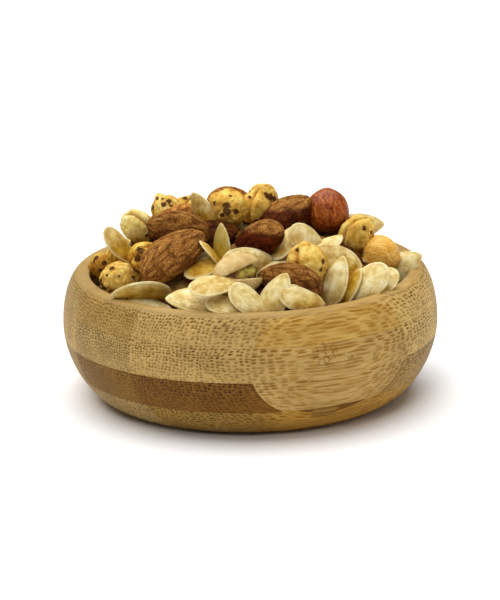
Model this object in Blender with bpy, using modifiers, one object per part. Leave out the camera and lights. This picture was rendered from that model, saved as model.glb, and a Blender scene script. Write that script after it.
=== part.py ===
"""A turned bamboo bowl heaped with mixed nuts, roasted chickpeas and pumpkin seeds.

The bowl is one lathed shell. The mix is one closed solid: a core that fills the bowl to a dome, with every nut
that shows fused onto it. Blender, metres, +Z up. The origin is on the bowl's axis, on the surface it stands on.
"""

import math
import random
from collections import namedtuple

import bmesh
import bpy
import numpy as np
from mathutils import Matrix, Vector

MM = 0.001

# Bowl, in millimetres
BOWL_RADIUS = 60.0
BELLY_HEIGHT = 24.0
BOWL_HEIGHT = 40.7
FOOT_RADIUS = 44.0
RIM_OUTER = 54.6
RIM_INNER = 52.2
MOUTH_RADIUS = 51.0
CAVITY_RADIUS = 54.0
FLOOR_THICKNESS = 6.0
BOWL_STEPS = 48

# Mix, in millimetres
HEAP_EDGE = 41.0
HEAP_RISE = 25.0
HEAP_POWER = 2.4
BACK_DROP = 5.0
CORE_DEPTH = 9.0
CORE_GAP = 0.45
CORE_STEPS = 48
RIM_GAP = 0.5
SUNK = 0.5
DEEPEST = 14

# The heap is laid out as it is seen from the front, by column and row of a picture this many units wide and high
PICTURE_SIZE = (500, 600)
PICTURE_SCALE = 3.119
VIEW_HEIGHT = 29.7
VIEW_DISTANCE = 1000.0
VIEW_ELEVATION = math.radians(16.05)
VIEW_ROLL = math.radians(1.09)

# Length, width and thickness of each kind in millimetres, how its two ends taper (0.5 is round), and its facets
Kind = namedtuple("Kind", "length width thick blunt tip steps rings")
KINDS = {
    "almond": Kind(24.0, 13.6, 9.0, 0.46, 0.66, 8, 6),
    "chickpea": Kind(11.0, 10.2, 9.8, 0.50, 0.54, 8, 5),
    "hazelnut": Kind(14.6, 12.8, 12.6, 0.46, 0.54, 8, 6),
    "seed": Kind(18.0, 10.2, 3.6, 0.48, 0.70, 8, 4),
    "pistachio": Kind(17.0, 11.4, 10.6, 0.50, 0.62, 8, 6),
}

# Each nut that shows from the front: column and row of its middle, and its length in millimetres. Then, in degrees,
# the slant of its long axis in that view, how far its tip points away from the viewer, and its roll on the long
# axis (0 shows the broad side, 90 the edge). They are in the order in which they lie on each other, lowest first.
Nut = namedtuple("Nut", "kind column row length slant away roll")
SHOWN = [
    Nut("chickpea", 102, 266, 9.0, 40, 0, 0),
    Nut("chickpea", 121, 257, 9.6, 100, 0, 0),
    Nut("almond", 231, 204, 20.0, 12, 45, 10),
    Nut("chickpea", 185, 209, 8.8, 60, 0, 0),
    Nut("almond", 181, 218, 20.0, 22, 30, 35),
    Nut("seed", 204, 213, 15.5, 118, 10, 40),
    Nut("almond", 211, 236, 18.0, 12, 0, 15),
    Nut("seed", 359, 226, 16.5, 5, 0, 25),
    Nut("seed", 326, 246, 14.0, 30, 30, 50),
    Nut("seed", 284, 243, 14.0, 60, 30, 40),
    Nut("seed", 401, 266, 15.5, 28, -10, 15),
    Nut("chickpea", 262, 200, 10.8, 200, 0, 0),
    Nut("chickpea", 166, 210, 10.4, 120, 0, 0),
    Nut("chickpea", 137, 226, 11.0, -10, 0, 0),
    Nut("almond", 288, 213, 21.2, 36, 35, 35),
    Nut("hazelnut", 327, 211, 15.0, 90, 0, 0),
    Nut("almond", 177, 229, 22.0, 172, 25, 35),
    Nut("seed", 119, 246, 14.5, -52, 10, 42),
    Nut("chickpea", 144, 256, 10.0, 30, 0, 0),
    Nut("seed", 305, 238, 15.0, -18, 42, 10),
    Nut("hazelnut", 380, 255, 13.0, -10, 0, 0),
    Nut("seed", 338, 260, 16.5, 150, -10, -15),
    Nut("seed", 286, 257, 16.0, 25, 20, 25),
    Nut("seed", 276, 270, 15.0, 10, 10, 40),
    Nut("chickpea", 254, 209, 11.2, 60, 0, 0),
    Nut("chickpea", 229, 208, 12.4, 20, 0, 0),
    Nut("chickpea", 357, 234, 12.4, 50, 0, 0),
    Nut("seed", 377, 286, 16.0, 214, 0, -35),
    Nut("seed", 222, 246, 14.5, 93, 0, 50),
    Nut("almond", 258, 240, 20.0, 198, 35, -25),
    Nut("chickpea", 120, 279, 12.4, 15, 0, 0),
    Nut("seed", 212, 254, 11.5, -52, 0, 75),
    Nut("seed", 207, 266, 16.0, 25, 20, 50),
    Nut("seed", 247, 262, 17.0, 8, 20, 10),
    Nut("seed", 150, 306, 14.5, -13, 0, 55),
    Nut("chickpea", 307, 264, 13.6, -22, 0, 0),
    Nut("almond", 174, 256, 24.0, 36, 12, 25),
    Nut("pistachio", 238, 275, 15.5, 14, 10, 0),
    Nut("seed", 349, 289, 15.0, 58, 0, 55),
    Nut("seed", 335, 282, 17.0, 70, 0, 35),
    Nut("seed", 365, 286, 18.6, 220, 0, -25),
    Nut("seed", 215, 285, 17.0, 10, 20, 50),
    Nut("almond", 290, 283, 21.0, 165, 10, 20),
    Nut("seed", 141, 293, 19.2, 182, 0, 52),
    Nut("seed", 275, 297, 16.5, 62, 0, 20),
    Nut("seed", 250, 303, 16.0, -40, 10, 30),
    Nut("seed", 302, 299, 15.0, -15, 10, 20),
    Nut("seed", 199, 300, 21.0, 176, 0, -45),
    Nut("seed", 231, 306, 16.0, -6, 10, 50),
]

# The rest of the heap is strewn by a seeded rule: the back, and lower down between the nuts that show in front
STREWN_SEED = 11
STREWN = ["almond", "chickpea", "seed", "chickpea", "seed"] * 11 + ["hazelnut"] * 3 + ["pistachio"] * 2
PLACES_TRIED = 60
BACK_LINE = 14.0
FRONT_DEPTH = 11.0

# The heap's outline as columns and rows, and how many rows the strewn nuts stay below it
SKYLINE = [
    (88, 262), (98, 252), (104, 230), (108, 226), (120, 222), (124, 214), (135, 208), (147, 209), (155, 196),
    (163, 193), (178, 199), (194, 193), (207, 202), (215, 193), (222, 187), (240, 185), (252, 184), (272, 186),
    (277, 196), (292, 193), (308, 197), (318, 188), (328, 187), (338, 190), (345, 200), (347, 214), (376, 216),
    (378, 236), (388, 246), (398, 256), (405, 250), (418, 253), (421, 262),
]
BELOW = 3.0

# The pushing apart: its rounds, how far a shown nut may give way sideways and is pulled back, when one nut lies
# over another in the view and how much of its thickness it may then lie deeper, and the bowl's wall as rings
ROUNDS = 60
SIDEWAYS = 0.0
PULL_BACK = 0.12
OVERLAID = 0.8
LAYER_SHARE = 0.2
WALL = [(57.0, 24.0, 3.0), (56.2, 30.0, 3.1), (54.8, 35.0, 3.1), (53.4, 38.2, 2.5)]


def curve_points(start, leave, arrive, end, count):
    """Points on a cubic curve, from start to end, both included."""
    made = []
    for i in range(count + 1):
        t = i / count
        s = 1 - t
        made.append(
            tuple(
                s**3 * a + 3 * s * s * t * b + 3 * s * t * t * c + t**3 * d
                for a, b, c, d in zip(start, leave, arrive, end)
            )
        )
    return made


def cavity_profile(gap):
    """The inside of the bowl from the middle of its floor up to the mouth, taken in by gap."""
    floor = FLOOR_THICKNESS + gap
    widest = CAVITY_RADIUS - gap
    mouth = MOUTH_RADIUS - gap
    belly = (widest, BELLY_HEIGHT)
    lower = curve_points((36.0, floor), (46.0, floor), (widest, 13.0), belly, 4)
    upper = curve_points(belly, (widest, 31.0), (mouth + 0.6, 35.0), (mouth, BOWL_HEIGHT - 1.2), 3)
    return [(0.0, floor)] + lower + upper[1:]


def bowl_profile():
    """The bowl's whole section, from the middle of the floor over the rim and down to the foot."""
    rim = curve_points(
        (MOUTH_RADIUS, BOWL_HEIGHT - 1.2),
        (MOUTH_RADIUS, BOWL_HEIGHT - 0.4),
        (MOUTH_RADIUS + 0.4, BOWL_HEIGHT),
        (RIM_INNER, BOWL_HEIGHT),
        2,
    )
    belly = (BOWL_RADIUS, BELLY_HEIGHT)
    shoulder = curve_points((RIM_OUTER, BOWL_HEIGHT), (56.4, BOWL_HEIGHT - 0.1), (BOWL_RADIUS, 34.8), belly, 7)
    lower = curve_points(belly, (BOWL_RADIUS, 13.4), (51.8, 0.0), (FOOT_RADIUS, 0.0), 7)
    return cavity_profile(0.0) + rim[1:] + shoulder + lower[1:] + [(0.0, 0.0)]


def dome(radius):
    """Height of the heap's outer surface at a distance from the axis."""
    return HEAP_EDGE + HEAP_RISE * (1 - np.minimum(radius / MOUTH_RADIUS, 1.0) ** HEAP_POWER)


def ground(x, y):
    """Height of the heap's outer surface at a place, where the back lies lower than the front."""
    return dome(np.hypot(x, y)) - BACK_DROP * np.clip((y - 6) / 14, 0, 1)


def strewn_ground(x, y):
    """The same for the strewn nuts, which stay below the ones that show in front."""
    return ground(x, y) - np.where(y < BACK_LINE - np.abs(x) / 4, FRONT_DEPTH, 0.0)


class Front:
    """The view from the front."""

    right = Vector((1, 0, 0))
    up = Vector((0, math.sin(VIEW_ELEVATION), math.cos(VIEW_ELEVATION)))
    ahead = Vector((0, math.cos(VIEW_ELEVATION), -math.sin(VIEW_ELEVATION)))
    middle = Vector((0, 0, VIEW_HEIGHT))
    eye = middle - ahead * VIEW_DISTANCE
    focal = PICTURE_SCALE * VIEW_DISTANCE
    turn = Matrix.Rotation(VIEW_ROLL, 2)

    @classmethod
    def seen(cls, place):
        """Column and row where a place shows."""
        way = place - cls.eye
        scale = cls.focal / way.dot(cls.ahead)
        point = cls.turn.inverted() @ Vector((way.dot(cls.right) * scale, -way.dot(cls.up) * scale))
        return point.x + PICTURE_SIZE[0] / 2, point.y + PICTURE_SIZE[1] / 2

    @classmethod
    def sight(cls, column, row):
        """Direction of the line of sight through a column and row."""
        across, down = cls.turn @ Vector((column - PICTURE_SIZE[0] / 2, row - PICTURE_SIZE[1] / 2))
        return cls.ahead + cls.right * (across / cls.focal) - cls.up * (down / cls.focal)


def turned(slant, away, roll):
    """Rotation of a nut as it is seen from the front."""
    slant, away, roll = (math.radians(a) for a in (slant, away, roll))
    in_view = Front.right * math.cos(slant) + Front.up * math.sin(slant)
    across = Front.up * math.cos(slant) - Front.right * math.sin(slant)
    long_axis = in_view * math.cos(away) + Front.ahead * math.sin(away)
    normal = long_axis.cross(across)
    wide = across * math.cos(roll) - normal * math.sin(roll)
    face = normal * math.cos(roll) + across * math.sin(roll)
    return Matrix((long_axis, wide, face)).transposed()


def lying(place, heading, pitch, lean):
    """Rotation of a nut that lies on the heap's slope at a place."""
    radius = place.xy.length
    slope = math.atan2(float(dome(radius - 1) - dome(radius + 1)), 2)
    upright = Matrix.Rotation(slope, 3, Vector((-place.y, place.x, 0)))
    turn = Matrix.Rotation(heading, 3, "Z") @ Matrix.Rotation(pitch, 3, "Y")
    return upright @ turn @ Matrix.Rotation(lean, 3, "X")


def nut_size(kind, length):
    k = KINDS[kind]
    grow = length / k.length
    return k.length * grow, k.width * grow, k.thick * grow


def lay_front_nuts():
    """Each shown nut goes to where its line of sight meets the heap."""
    laid = []
    for nut in SHOWN:
        size = nut_size(nut.kind, nut.length)
        rotation = turned(nut.slant, nut.away, nut.roll)
        way = Front.sight(nut.column, nut.row)
        nearest = None
        for depth in range(-52, DEEPEST):
            place = Front.eye + way * ((depth - Front.eye.y) / way.y)
            above = place.z - float(ground(place.x, place.y)) + size[2] * SUNK
            if nearest is None or above < nearest[0]:
                nearest = (above, place)
            if above <= 0:
                break
        laid.append((nut.kind, size, rotation, nearest[1]))
    return order_in_depth(laid)


def view_outline(size, rotation):
    """Half width and half height of a nut as it is seen from the front."""
    axes = rotation.transposed()
    wide = math.sqrt(sum((half * axis.dot(Front.right)) ** 2 for half, axis in zip(size, axes))) / 2
    high = math.sqrt(sum((half * axis.dot(Front.up)) ** 2 for half, axis in zip(size, axes))) / 2
    return wide, high


def order_in_depth(laid):
    """Moves a nut back along its line of sight where one that lies over it in the view is not in front of it."""
    outlines = [view_outline(size, rotation) for kind, size, rotation, place in laid]
    for i in reversed(range(len(laid))):
        place = laid[i][3]
        away = (place - Front.eye).normalized()
        for j in range(i + 1, len(laid)):
            apart = laid[j][3] - place
            wide = outlines[i][0] + outlines[j][0]
            high = outlines[i][1] + outlines[j][1]
            over = math.hypot(apart.dot(Front.right) / wide, apart.dot(Front.up) / high) < OVERLAID
            behind = apart.dot(away) - laid[j][1][2] * LAYER_SHARE
            if over and behind > 0:
                place += away * behind
    return laid


def lay_strewn_nuts(laid):
    """The nuts behind: of many places tried, each takes the one that lies most in the open."""
    draw = random.Random(STREWN_SEED)
    centres = [nut[3] for nut in laid]
    for kind in STREWN:
        size = nut_size(kind, KINDS[kind].length * draw.uniform(0.9, 1.08))
        found = None
        for _ in range(PLACES_TRIED):
            radius = (MOUTH_RADIUS - size[1] * 0.8) * math.sqrt(draw.random())
            angle = draw.uniform(0, math.tau)
            place = Vector((radius * math.cos(angle), radius * math.sin(angle), 0))
            place.z = float(strewn_ground(place.x, place.y)) - size[2] * SUNK
            room = min((place - other).length for other in centres)
            if found is None or room > found[0]:
                found = (room, place)
        place = found[1]
        rotation = lying(place, draw.uniform(0, math.tau), draw.uniform(-0.4, 0.4), draw.uniform(-0.5, 0.5))
        laid.append((kind, size, rotation, place))
        centres.append(place)
    return laid


def keep_below_outline(laid):
    """Lowers the strewn nuts that would show over the heap's outline, as it is seen from the front."""
    columns, rows = zip(*SKYLINE)
    kept = []
    for index, (kind, size, rotation, place) in enumerate(laid):
        wide, high = view_outline(size, rotation)
        over = 0.0
        for along in (-0.8, -0.4, 0.0, 0.4, 0.8):
            top = Front.right * (wide * along) + Front.up * (high * math.sqrt(1 - along * along))
            column, row = Front.seen(place + top)
            over = max(over, float(np.interp(column, columns, rows)) + BELOW - row)
        drop = over * (place - Front.eye).dot(Front.ahead) / Front.focal / Front.up.z
        kept.append((kind, size, rotation, place - Vector((0, 0, 0 if index < len(SHOWN) else drop))))
    return kept


def stand_in_balls(size):
    """Balls that fill a nut, by offset from its middle and radius, for finding where nuts cross."""
    if size[2] > size[0] * 0.8:
        return [(Vector((0, 0, 0)), sum(size) / 6)]
    balls = []
    for u in (-0.8, -0.4, 0.0, 0.4, 0.8):
        for v in (-0.6, 0.0, 0.6):
            left = 1 - u * u - v * v
            if left > 0:
                balls.append((Vector((u * size[0] / 2, v * size[1] / 2, 0)), size[2] / 2 * math.sqrt(left)))
    return balls


def settle(laid):
    """Pushes nuts apart where they cross, and clear of the bowl. Those in front keep their place in the view."""
    balls = [
        (index, rotation @ offset, radius)
        for index, (kind, size, rotation, place) in enumerate(laid)
        for offset, radius in stand_in_balls(size)
    ]
    owner = np.array([ball[0] for ball in balls])
    offset = np.array([ball[1] for ball in balls])
    radius = np.array([ball[2] for ball in balls])
    start = np.array([nut[3] for nut in laid])
    centre = start.copy()
    sunk = np.array([nut[1][2] * SUNK for nut in laid])
    shown = np.arange(len(laid)) < len(SHOWN)
    sight = np.array([(nut[3] - Front.eye).normalized() for nut in laid])
    both_shown = shown[owner][:, None] & shown[owner][None]
    later = np.sign(owner[:, None] - owner[None])
    touch = radius[:, None] + radius[None]
    touch[owner[:, None] == owner[None]] = 0.0
    for _ in range(ROUNDS):
        ball = centre[owner] + offset
        apart = ball[:, None] - ball[None]
        distance = np.linalg.norm(apart, axis=2) + 1e-6
        overlap = np.maximum(touch - distance, 0.0)
        push = apart * (overlap / distance)[..., None] / 2
        push -= (both_shown * later * overlap)[..., None] * sight[owner][:, None] / 4
        total = push.sum(axis=1)
        count = (overlap > 0).sum(axis=1).astype(float)
        out = np.hypot(ball[:, 0], ball[:, 1]) + 1e-6
        for wall_radius, wall_height, wall_thick in WALL:
            away = np.stack([out - wall_radius, ball[:, 2] - wall_height], axis=1)
            gap = np.linalg.norm(away, axis=1)
            crossing = np.maximum(wall_thick + radius + RIM_GAP - gap, 0.0)
            steer = away / gap[:, None] * crossing[:, None]
            total[:, 0] += steer[:, 0] * ball[:, 0] / out
            total[:, 1] += steer[:, 0] * ball[:, 1] / out
            total[:, 2] += steer[:, 1]
            count += crossing > 0
        moved = np.zeros_like(centre)
        hits = np.zeros(len(laid))
        np.add.at(moved, owner, total)
        np.add.at(hits, owner, count)
        moved /= np.maximum(hits, 1.0)[:, None]
        along = (moved * sight).sum(axis=1)[:, None] * sight
        moved = np.where(shown[:, None], along + (moved - along) * SIDEWAYS, moved)
        centre += moved
        centre -= (centre - start) * np.where(shown, PULL_BACK, 0.0)[:, None]
        lift = strewn_ground(centre[:, 0], centre[:, 1]) - sunk - centre[:, 2]
        centre[:, 2] += np.where(shown, 0.0, lift * 0.2)
    return [(kind, size, rotation, Vector(centre[i])) for i, (kind, size, rotation, place) in enumerate(laid)]


def clear_scene():
    for obj in list(bpy.data.objects):
        bpy.data.objects.remove(obj)


def new_collection(name):
    made = bpy.data.collections.new(name)
    bpy.context.scene.collection.children.link(made)
    return made


def material(name, color, roughness):
    made = bpy.data.materials.new(name)
    made.use_nodes = True
    shader = made.node_tree.nodes["Principled BSDF"]
    shader.inputs["Base Color"].default_value = (*color, 1.0)
    shader.inputs["Roughness"].default_value = roughness
    return made


def lathed(name, profile, steps, collection, ring=False):
    """A solid turned about Z from a section in millimetres that runs down its outer side, closed if it is a ring."""
    mesh = bpy.data.meshes.new(name)
    points = [(r * MM, 0.0, z * MM) for r, z in profile]
    edges = [(i, i + 1) for i in range(len(points) - 1)]
    if ring:
        edges.append((len(points) - 1, 0))
    mesh.from_pydata(points, edges, [])
    obj = bpy.data.objects.new(name, mesh)
    collection.objects.link(obj)
    screw = obj.modifiers.new("turn", "SCREW")
    screw.steps = screw.render_steps = steps
    screw.use_merge_vertices = True
    screw.merge_threshold = 0.00002
    screw.use_normal_calculate = False
    return obj


def nut_object(index, kind, size, rotation, place, collection):
    """A ball drawn out to the nut's length, with each end tapered, set in its place."""
    k = KINDS[kind]
    ball = bmesh.new()
    bmesh.ops.create_uvsphere(ball, u_segments=k.steps, v_segments=k.rings, radius=1.0)
    fullest = (k.blunt - k.tip) / (k.blunt + k.tip)
    girth = (1 + fullest) ** k.blunt * (1 - fullest) ** k.tip
    for vert in ball.verts:
        along = max(-1.0, min(1.0, vert.co.z))
        round_girth = math.sqrt(max(1 - along * along, 0.0))
        taper = (1 + along) ** k.blunt * (1 - along) ** k.tip / girth
        share = taper / round_girth if round_girth > 1e-4 else 0.0
        vert.co = Vector((along * size[0] / 2, vert.co.x * share * size[1] / 2, vert.co.y * share * size[2] / 2))
    bmesh.ops.transform(ball, matrix=rotation.to_4x4(), verts=ball.verts)
    bmesh.ops.translate(ball, vec=place, verts=ball.verts)
    bmesh.ops.scale(ball, vec=Vector((MM, MM, MM)), verts=ball.verts)
    bmesh.ops.recalc_face_normals(ball, faces=ball.faces)
    mesh = bpy.data.meshes.new(f"nut_{index:03d}")
    ball.to_mesh(mesh)
    ball.free()
    obj = bpy.data.objects.new(mesh.name, mesh)
    collection.objects.link(obj)
    return obj


def clearance_profile():
    """The upper wall of the bowl with the gap round it, as a closed section."""
    inside = [p for p in cavity_profile(CORE_GAP) if p[1] > 10.0]
    top = BOWL_HEIGHT + CORE_GAP
    over = curve_points(inside[-1], (MOUTH_RADIUS - CORE_GAP, top - 0.6), (RIM_INNER - 1.0, top), (RIM_INNER, top), 2)
    across = [(RIM_OUTER, top), (BOWL_RADIUS, BOWL_HEIGHT - 6.0), (BOWL_RADIUS + 4.0, 10.0)]
    return inside + over[1:] + across


def core_profile():
    """The core's section, from the top of its dome out to the mouth and down inside the bowl."""
    top = [(MOUTH_RADIUS * i / 8, float(dome(MOUTH_RADIUS * i / 8)) - CORE_DEPTH) for i in range(8)]
    inside = [p for p in cavity_profile(CORE_GAP + 0.15) if p[1] < HEAP_EDGE - CORE_DEPTH - 1]
    edge = [(CAVITY_RADIUS - 2.0, HEAP_EDGE - CORE_DEPTH)]
    return top + edge + list(reversed(inside))


def bake(obj):
    """Replaces the object's mesh by what its modifiers make of it."""
    graph = bpy.context.evaluated_depsgraph_get()
    mesh = bpy.data.meshes.new_from_object(obj.evaluated_get(graph))
    obj.modifiers.clear()
    obj.data = mesh
    return obj


def keep_main_body(obj):
    """Drops loose scraps, and the walls of hollows that the union sealed inside."""
    mesh = bmesh.new()
    mesh.from_mesh(obj.data)
    bodies = []
    waiting = set(mesh.faces)
    while waiting:
        body = [waiting.pop()]
        for face in body:
            near = {n for edge in face.edges for n in edge.link_faces} & waiting
            waiting -= near
            body.extend(near)
        bodies.append(body)
    bodies.sort(key=len, reverse=True)
    scraps = [face for body in bodies[1:] for face in body]
    bmesh.ops.delete(mesh, geom=scraps, context="FACES")
    mesh.to_mesh(obj.data)
    mesh.free()
    print("faces of each body before scraps are dropped", [len(body) for body in bodies])


def build_bowl(collection):
    bowl = lathed("bowl", bowl_profile(), BOWL_STEPS, collection)
    bake(bowl)
    bowl.data.shade_smooth()
    bowl.data.set_sharp_from_angle(angle=math.radians(40))
    bowl.data.materials.append(material("bamboo", (0.62, 0.44, 0.22), 0.5))
    return bowl


def build_mix(collection):
    """The core with every nut fused on by one union."""
    laid = keep_below_outline(settle(lay_strewn_nuts(lay_front_nuts())))
    nuts = new_collection("nuts")
    for index, nut in enumerate(laid):
        nut_object(index, *nut, nuts)
    mix = lathed("trail_mix", core_profile(), CORE_STEPS, collection)
    bake(mix)
    clearance = lathed("clearance", clearance_profile(), CORE_STEPS, nuts, ring=True)
    bake(clearance)
    nuts.objects.unlink(clearance)
    union = mix.modifiers.new("fuse", "BOOLEAN")
    union.operation = "UNION"
    union.operand_type = "COLLECTION"
    union.collection = nuts
    union.solver = "MANIFOLD"
    trim = mix.modifiers.new("clear_of_bowl", "BOOLEAN")
    trim.operation = "DIFFERENCE"
    trim.object = clearance
    trim.solver = "MANIFOLD"
    bake(mix)
    keep_main_body(mix)
    for obj in list(nuts.objects) + [clearance]:
        bpy.data.objects.remove(obj)
    bpy.data.collections.remove(nuts)
    mix.data.materials.append(material("nut_skins", (0.55, 0.30, 0.10), 0.6))
    return mix


clear_scene()
parts = new_collection("bowl_of_trail_mix")
build_bowl(parts)
build_mix(parts)
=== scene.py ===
"""A turned bamboo bowl heaped with nuts, roasted chickpeas and pumpkin seeds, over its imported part."""

import math
import random
from collections import namedtuple
from itertools import product

import bpy
import numpy as np
from mathutils import Matrix, Vector


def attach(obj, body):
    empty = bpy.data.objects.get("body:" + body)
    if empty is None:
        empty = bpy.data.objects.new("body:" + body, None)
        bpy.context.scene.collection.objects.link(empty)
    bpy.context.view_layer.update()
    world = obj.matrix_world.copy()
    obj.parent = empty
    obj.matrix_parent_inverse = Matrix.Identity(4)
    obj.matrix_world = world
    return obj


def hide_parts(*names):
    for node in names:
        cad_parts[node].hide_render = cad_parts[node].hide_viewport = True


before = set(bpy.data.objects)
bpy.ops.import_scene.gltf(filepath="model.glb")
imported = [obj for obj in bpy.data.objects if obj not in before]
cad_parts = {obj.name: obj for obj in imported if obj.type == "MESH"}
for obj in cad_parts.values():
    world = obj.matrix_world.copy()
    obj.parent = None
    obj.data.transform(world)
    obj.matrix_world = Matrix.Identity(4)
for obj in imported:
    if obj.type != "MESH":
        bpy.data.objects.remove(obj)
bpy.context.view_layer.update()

scene = bpy.context.scene

# Camera
# The bowl is seen from a little above its rim, a metre away through a long lens, and turned by a degree. The
# heap is laid out in this view further down, so the view's directions are kept here.

MM = 0.001
PICTURE_SIZE = (500, 600)
PICTURE_SCALE = 3.119
VIEW_HEIGHT = 29.7
VIEW_DISTANCE = 1000.0
VIEW_ELEVATION = math.radians(16.05)
VIEW_ROLL = math.radians(1.09)
SENSOR = 36.0


class Front:
    """The view from the front, in millimetres."""

    right = Vector((1, 0, 0))
    up = Vector((0, math.sin(VIEW_ELEVATION), math.cos(VIEW_ELEVATION)))
    ahead = Vector((0, math.cos(VIEW_ELEVATION), -math.sin(VIEW_ELEVATION)))
    middle = Vector((0, 0, VIEW_HEIGHT))
    eye = middle - ahead * VIEW_DISTANCE
    focal = PICTURE_SCALE * VIEW_DISTANCE
    turn = Matrix.Rotation(VIEW_ROLL, 2)

    @classmethod
    def seen(cls, place):
        """Column and row where a place shows."""
        way = place - cls.eye
        scale = cls.focal / way.dot(cls.ahead)
        point = cls.turn.inverted() @ Vector((way.dot(cls.right) * scale, -way.dot(cls.up) * scale))
        return point.x + PICTURE_SIZE[0] / 2, point.y + PICTURE_SIZE[1] / 2

    @classmethod
    def sight(cls, column, row):
        """Direction of the line of sight through a column and row of the picture."""
        across, down = cls.turn @ Vector((column - PICTURE_SIZE[0] / 2, row - PICTURE_SIZE[1] / 2))
        return cls.ahead + cls.right * (across / cls.focal) - cls.up * (down / cls.focal)


facing = Matrix((Front.right, Front.up, -Front.ahead)).transposed() @ Matrix.Rotation(-VIEW_ROLL, 3, "Z")
bpy.ops.object.camera_add(location=Front.eye * MM, rotation=facing.to_euler())
camera = bpy.context.object
camera.name = "camera"
camera.data.sensor_width = SENSOR
camera.data.lens = SENSOR * Front.focal / PICTURE_SIZE[1]
scene.camera = camera

# Bowl
# One block of bamboo, glued up from four layers of strips whose fibres all run the same way, turned hollow on
# a lathe, sanded and oiled. The fibres' ends show as dots, and as streaks where the wall runs along them.

BOWL_RADIUS = 60.0
BELLY_HEIGHT = 24.0
BOWL_HEIGHT = 40.7
FOOT_RADIUS = 44.0
RIM_OUTER = 54.6
RIM_INNER = 52.2
MOUTH_RADIUS = 51.0
CAVITY_RADIUS = 54.0
FLOOR_THICKNESS = 6.0
BOWL_SIDES = 192


def curve_points(start, leave, arrive, end, count):
    """Points on a cubic curve after its start, up to its end."""
    made = []
    for i in range(1, count + 1):
        t = i / count
        s = 1 - t
        made.append(
            tuple(
                s**3 * a + 3 * s * s * t * b + 3 * s * t * t * c + t**3 * d
                for a, b, c, d in zip(start, leave, arrive, end)
            )
        )
    return made


def bowl_section():
    """Radius and height of each turned ring, from the foot up, over the rim and down to the floor inside."""
    foot = (FOOT_RADIUS, 0.0)
    belly = (BOWL_RADIUS, BELLY_HEIGHT)
    outer_edge = (RIM_OUTER, BOWL_HEIGHT)
    inner_edge = (RIM_INNER, BOWL_HEIGHT)
    mouth = (MOUTH_RADIUS, BOWL_HEIGHT - 1.2)
    widest = (CAVITY_RADIUS, BELLY_HEIGHT)
    floor_edge = (36.0, FLOOR_THICKNESS)
    return (
        curve_points(foot, (51.8, 0.0), (BOWL_RADIUS, 13.4), belly, 22)
        + curve_points(belly, (BOWL_RADIUS, 34.8), (56.4, BOWL_HEIGHT - 0.1), outer_edge, 20)
        + [((RIM_OUTER + RIM_INNER) / 2, BOWL_HEIGHT), inner_edge]
        + curve_points(inner_edge, (51.4, BOWL_HEIGHT), (MOUTH_RADIUS, BOWL_HEIGHT - 0.4), mouth, 5)
        + curve_points(mouth, (MOUTH_RADIUS + 0.6, 35.0), (CAVITY_RADIUS, 31.0), widest, 9)
        + curve_points(widest, (CAVITY_RADIUS, 13.0), (46.0, FLOOR_THICKNESS), floor_edge, 10)
        + [(18.0, FLOOR_THICKNESS)]
    )


def turn_on_lathe(name, start, rings, sides):
    """A ring drawn out and widened or narrowed step by step, and closed in the middle at both ends."""
    bpy.ops.object.select_all(action="DESELECT")
    bpy.ops.mesh.primitive_circle_add(vertices=sides, radius=start[0] * MM, location=(0, 0, start[1] * MM))
    turned_piece = bpy.context.object
    turned_piece.name = turned_piece.data.name = name
    bpy.ops.object.transform_apply(location=True)
    bpy.ops.object.mode_set(mode="EDIT")
    bpy.ops.mesh.select_all(action="SELECT")
    radius, height = start
    for ring_radius, ring_height in rings:
        lift = {"value": (0, 0, (ring_height - height) * MM)}
        bpy.ops.mesh.extrude_edges_move(TRANSFORM_OT_translate=lift)
        widen = ring_radius / radius
        bpy.ops.transform.resize(value=(widen, widen, 1), center_override=(0, 0, ring_height * MM))
        radius, height = ring_radius, ring_height
    bpy.ops.mesh.extrude_edges_move()
    bpy.ops.mesh.merge(type="CENTER")
    bpy.ops.mesh.select_all(action="DESELECT")
    bpy.ops.mesh.select_non_manifold(extend=False)
    bpy.ops.mesh.extrude_edges_move()
    bpy.ops.mesh.merge(type="CENTER")
    bpy.ops.mesh.select_all(action="SELECT")
    bpy.ops.mesh.normals_make_consistent(inside=False)
    bpy.ops.object.mode_set(mode="OBJECT")
    return turned_piece


bowl = turn_on_lathe("bamboo_bowl", (FOOT_RADIUS, 0.0), bowl_section(), BOWL_SIDES)
bpy.ops.object.shade_smooth_by_angle(angle=math.radians(40))


def paint(red, green, blue):
    """A colour given as it looks on a screen, from 0 to 255."""
    channels = (((c / 255 + 0.055) / 1.055) ** 2.4 if c > 10 else c / 255 / 12.92 for c in (red, green, blue))
    return (*channels, 1.0)


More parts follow.
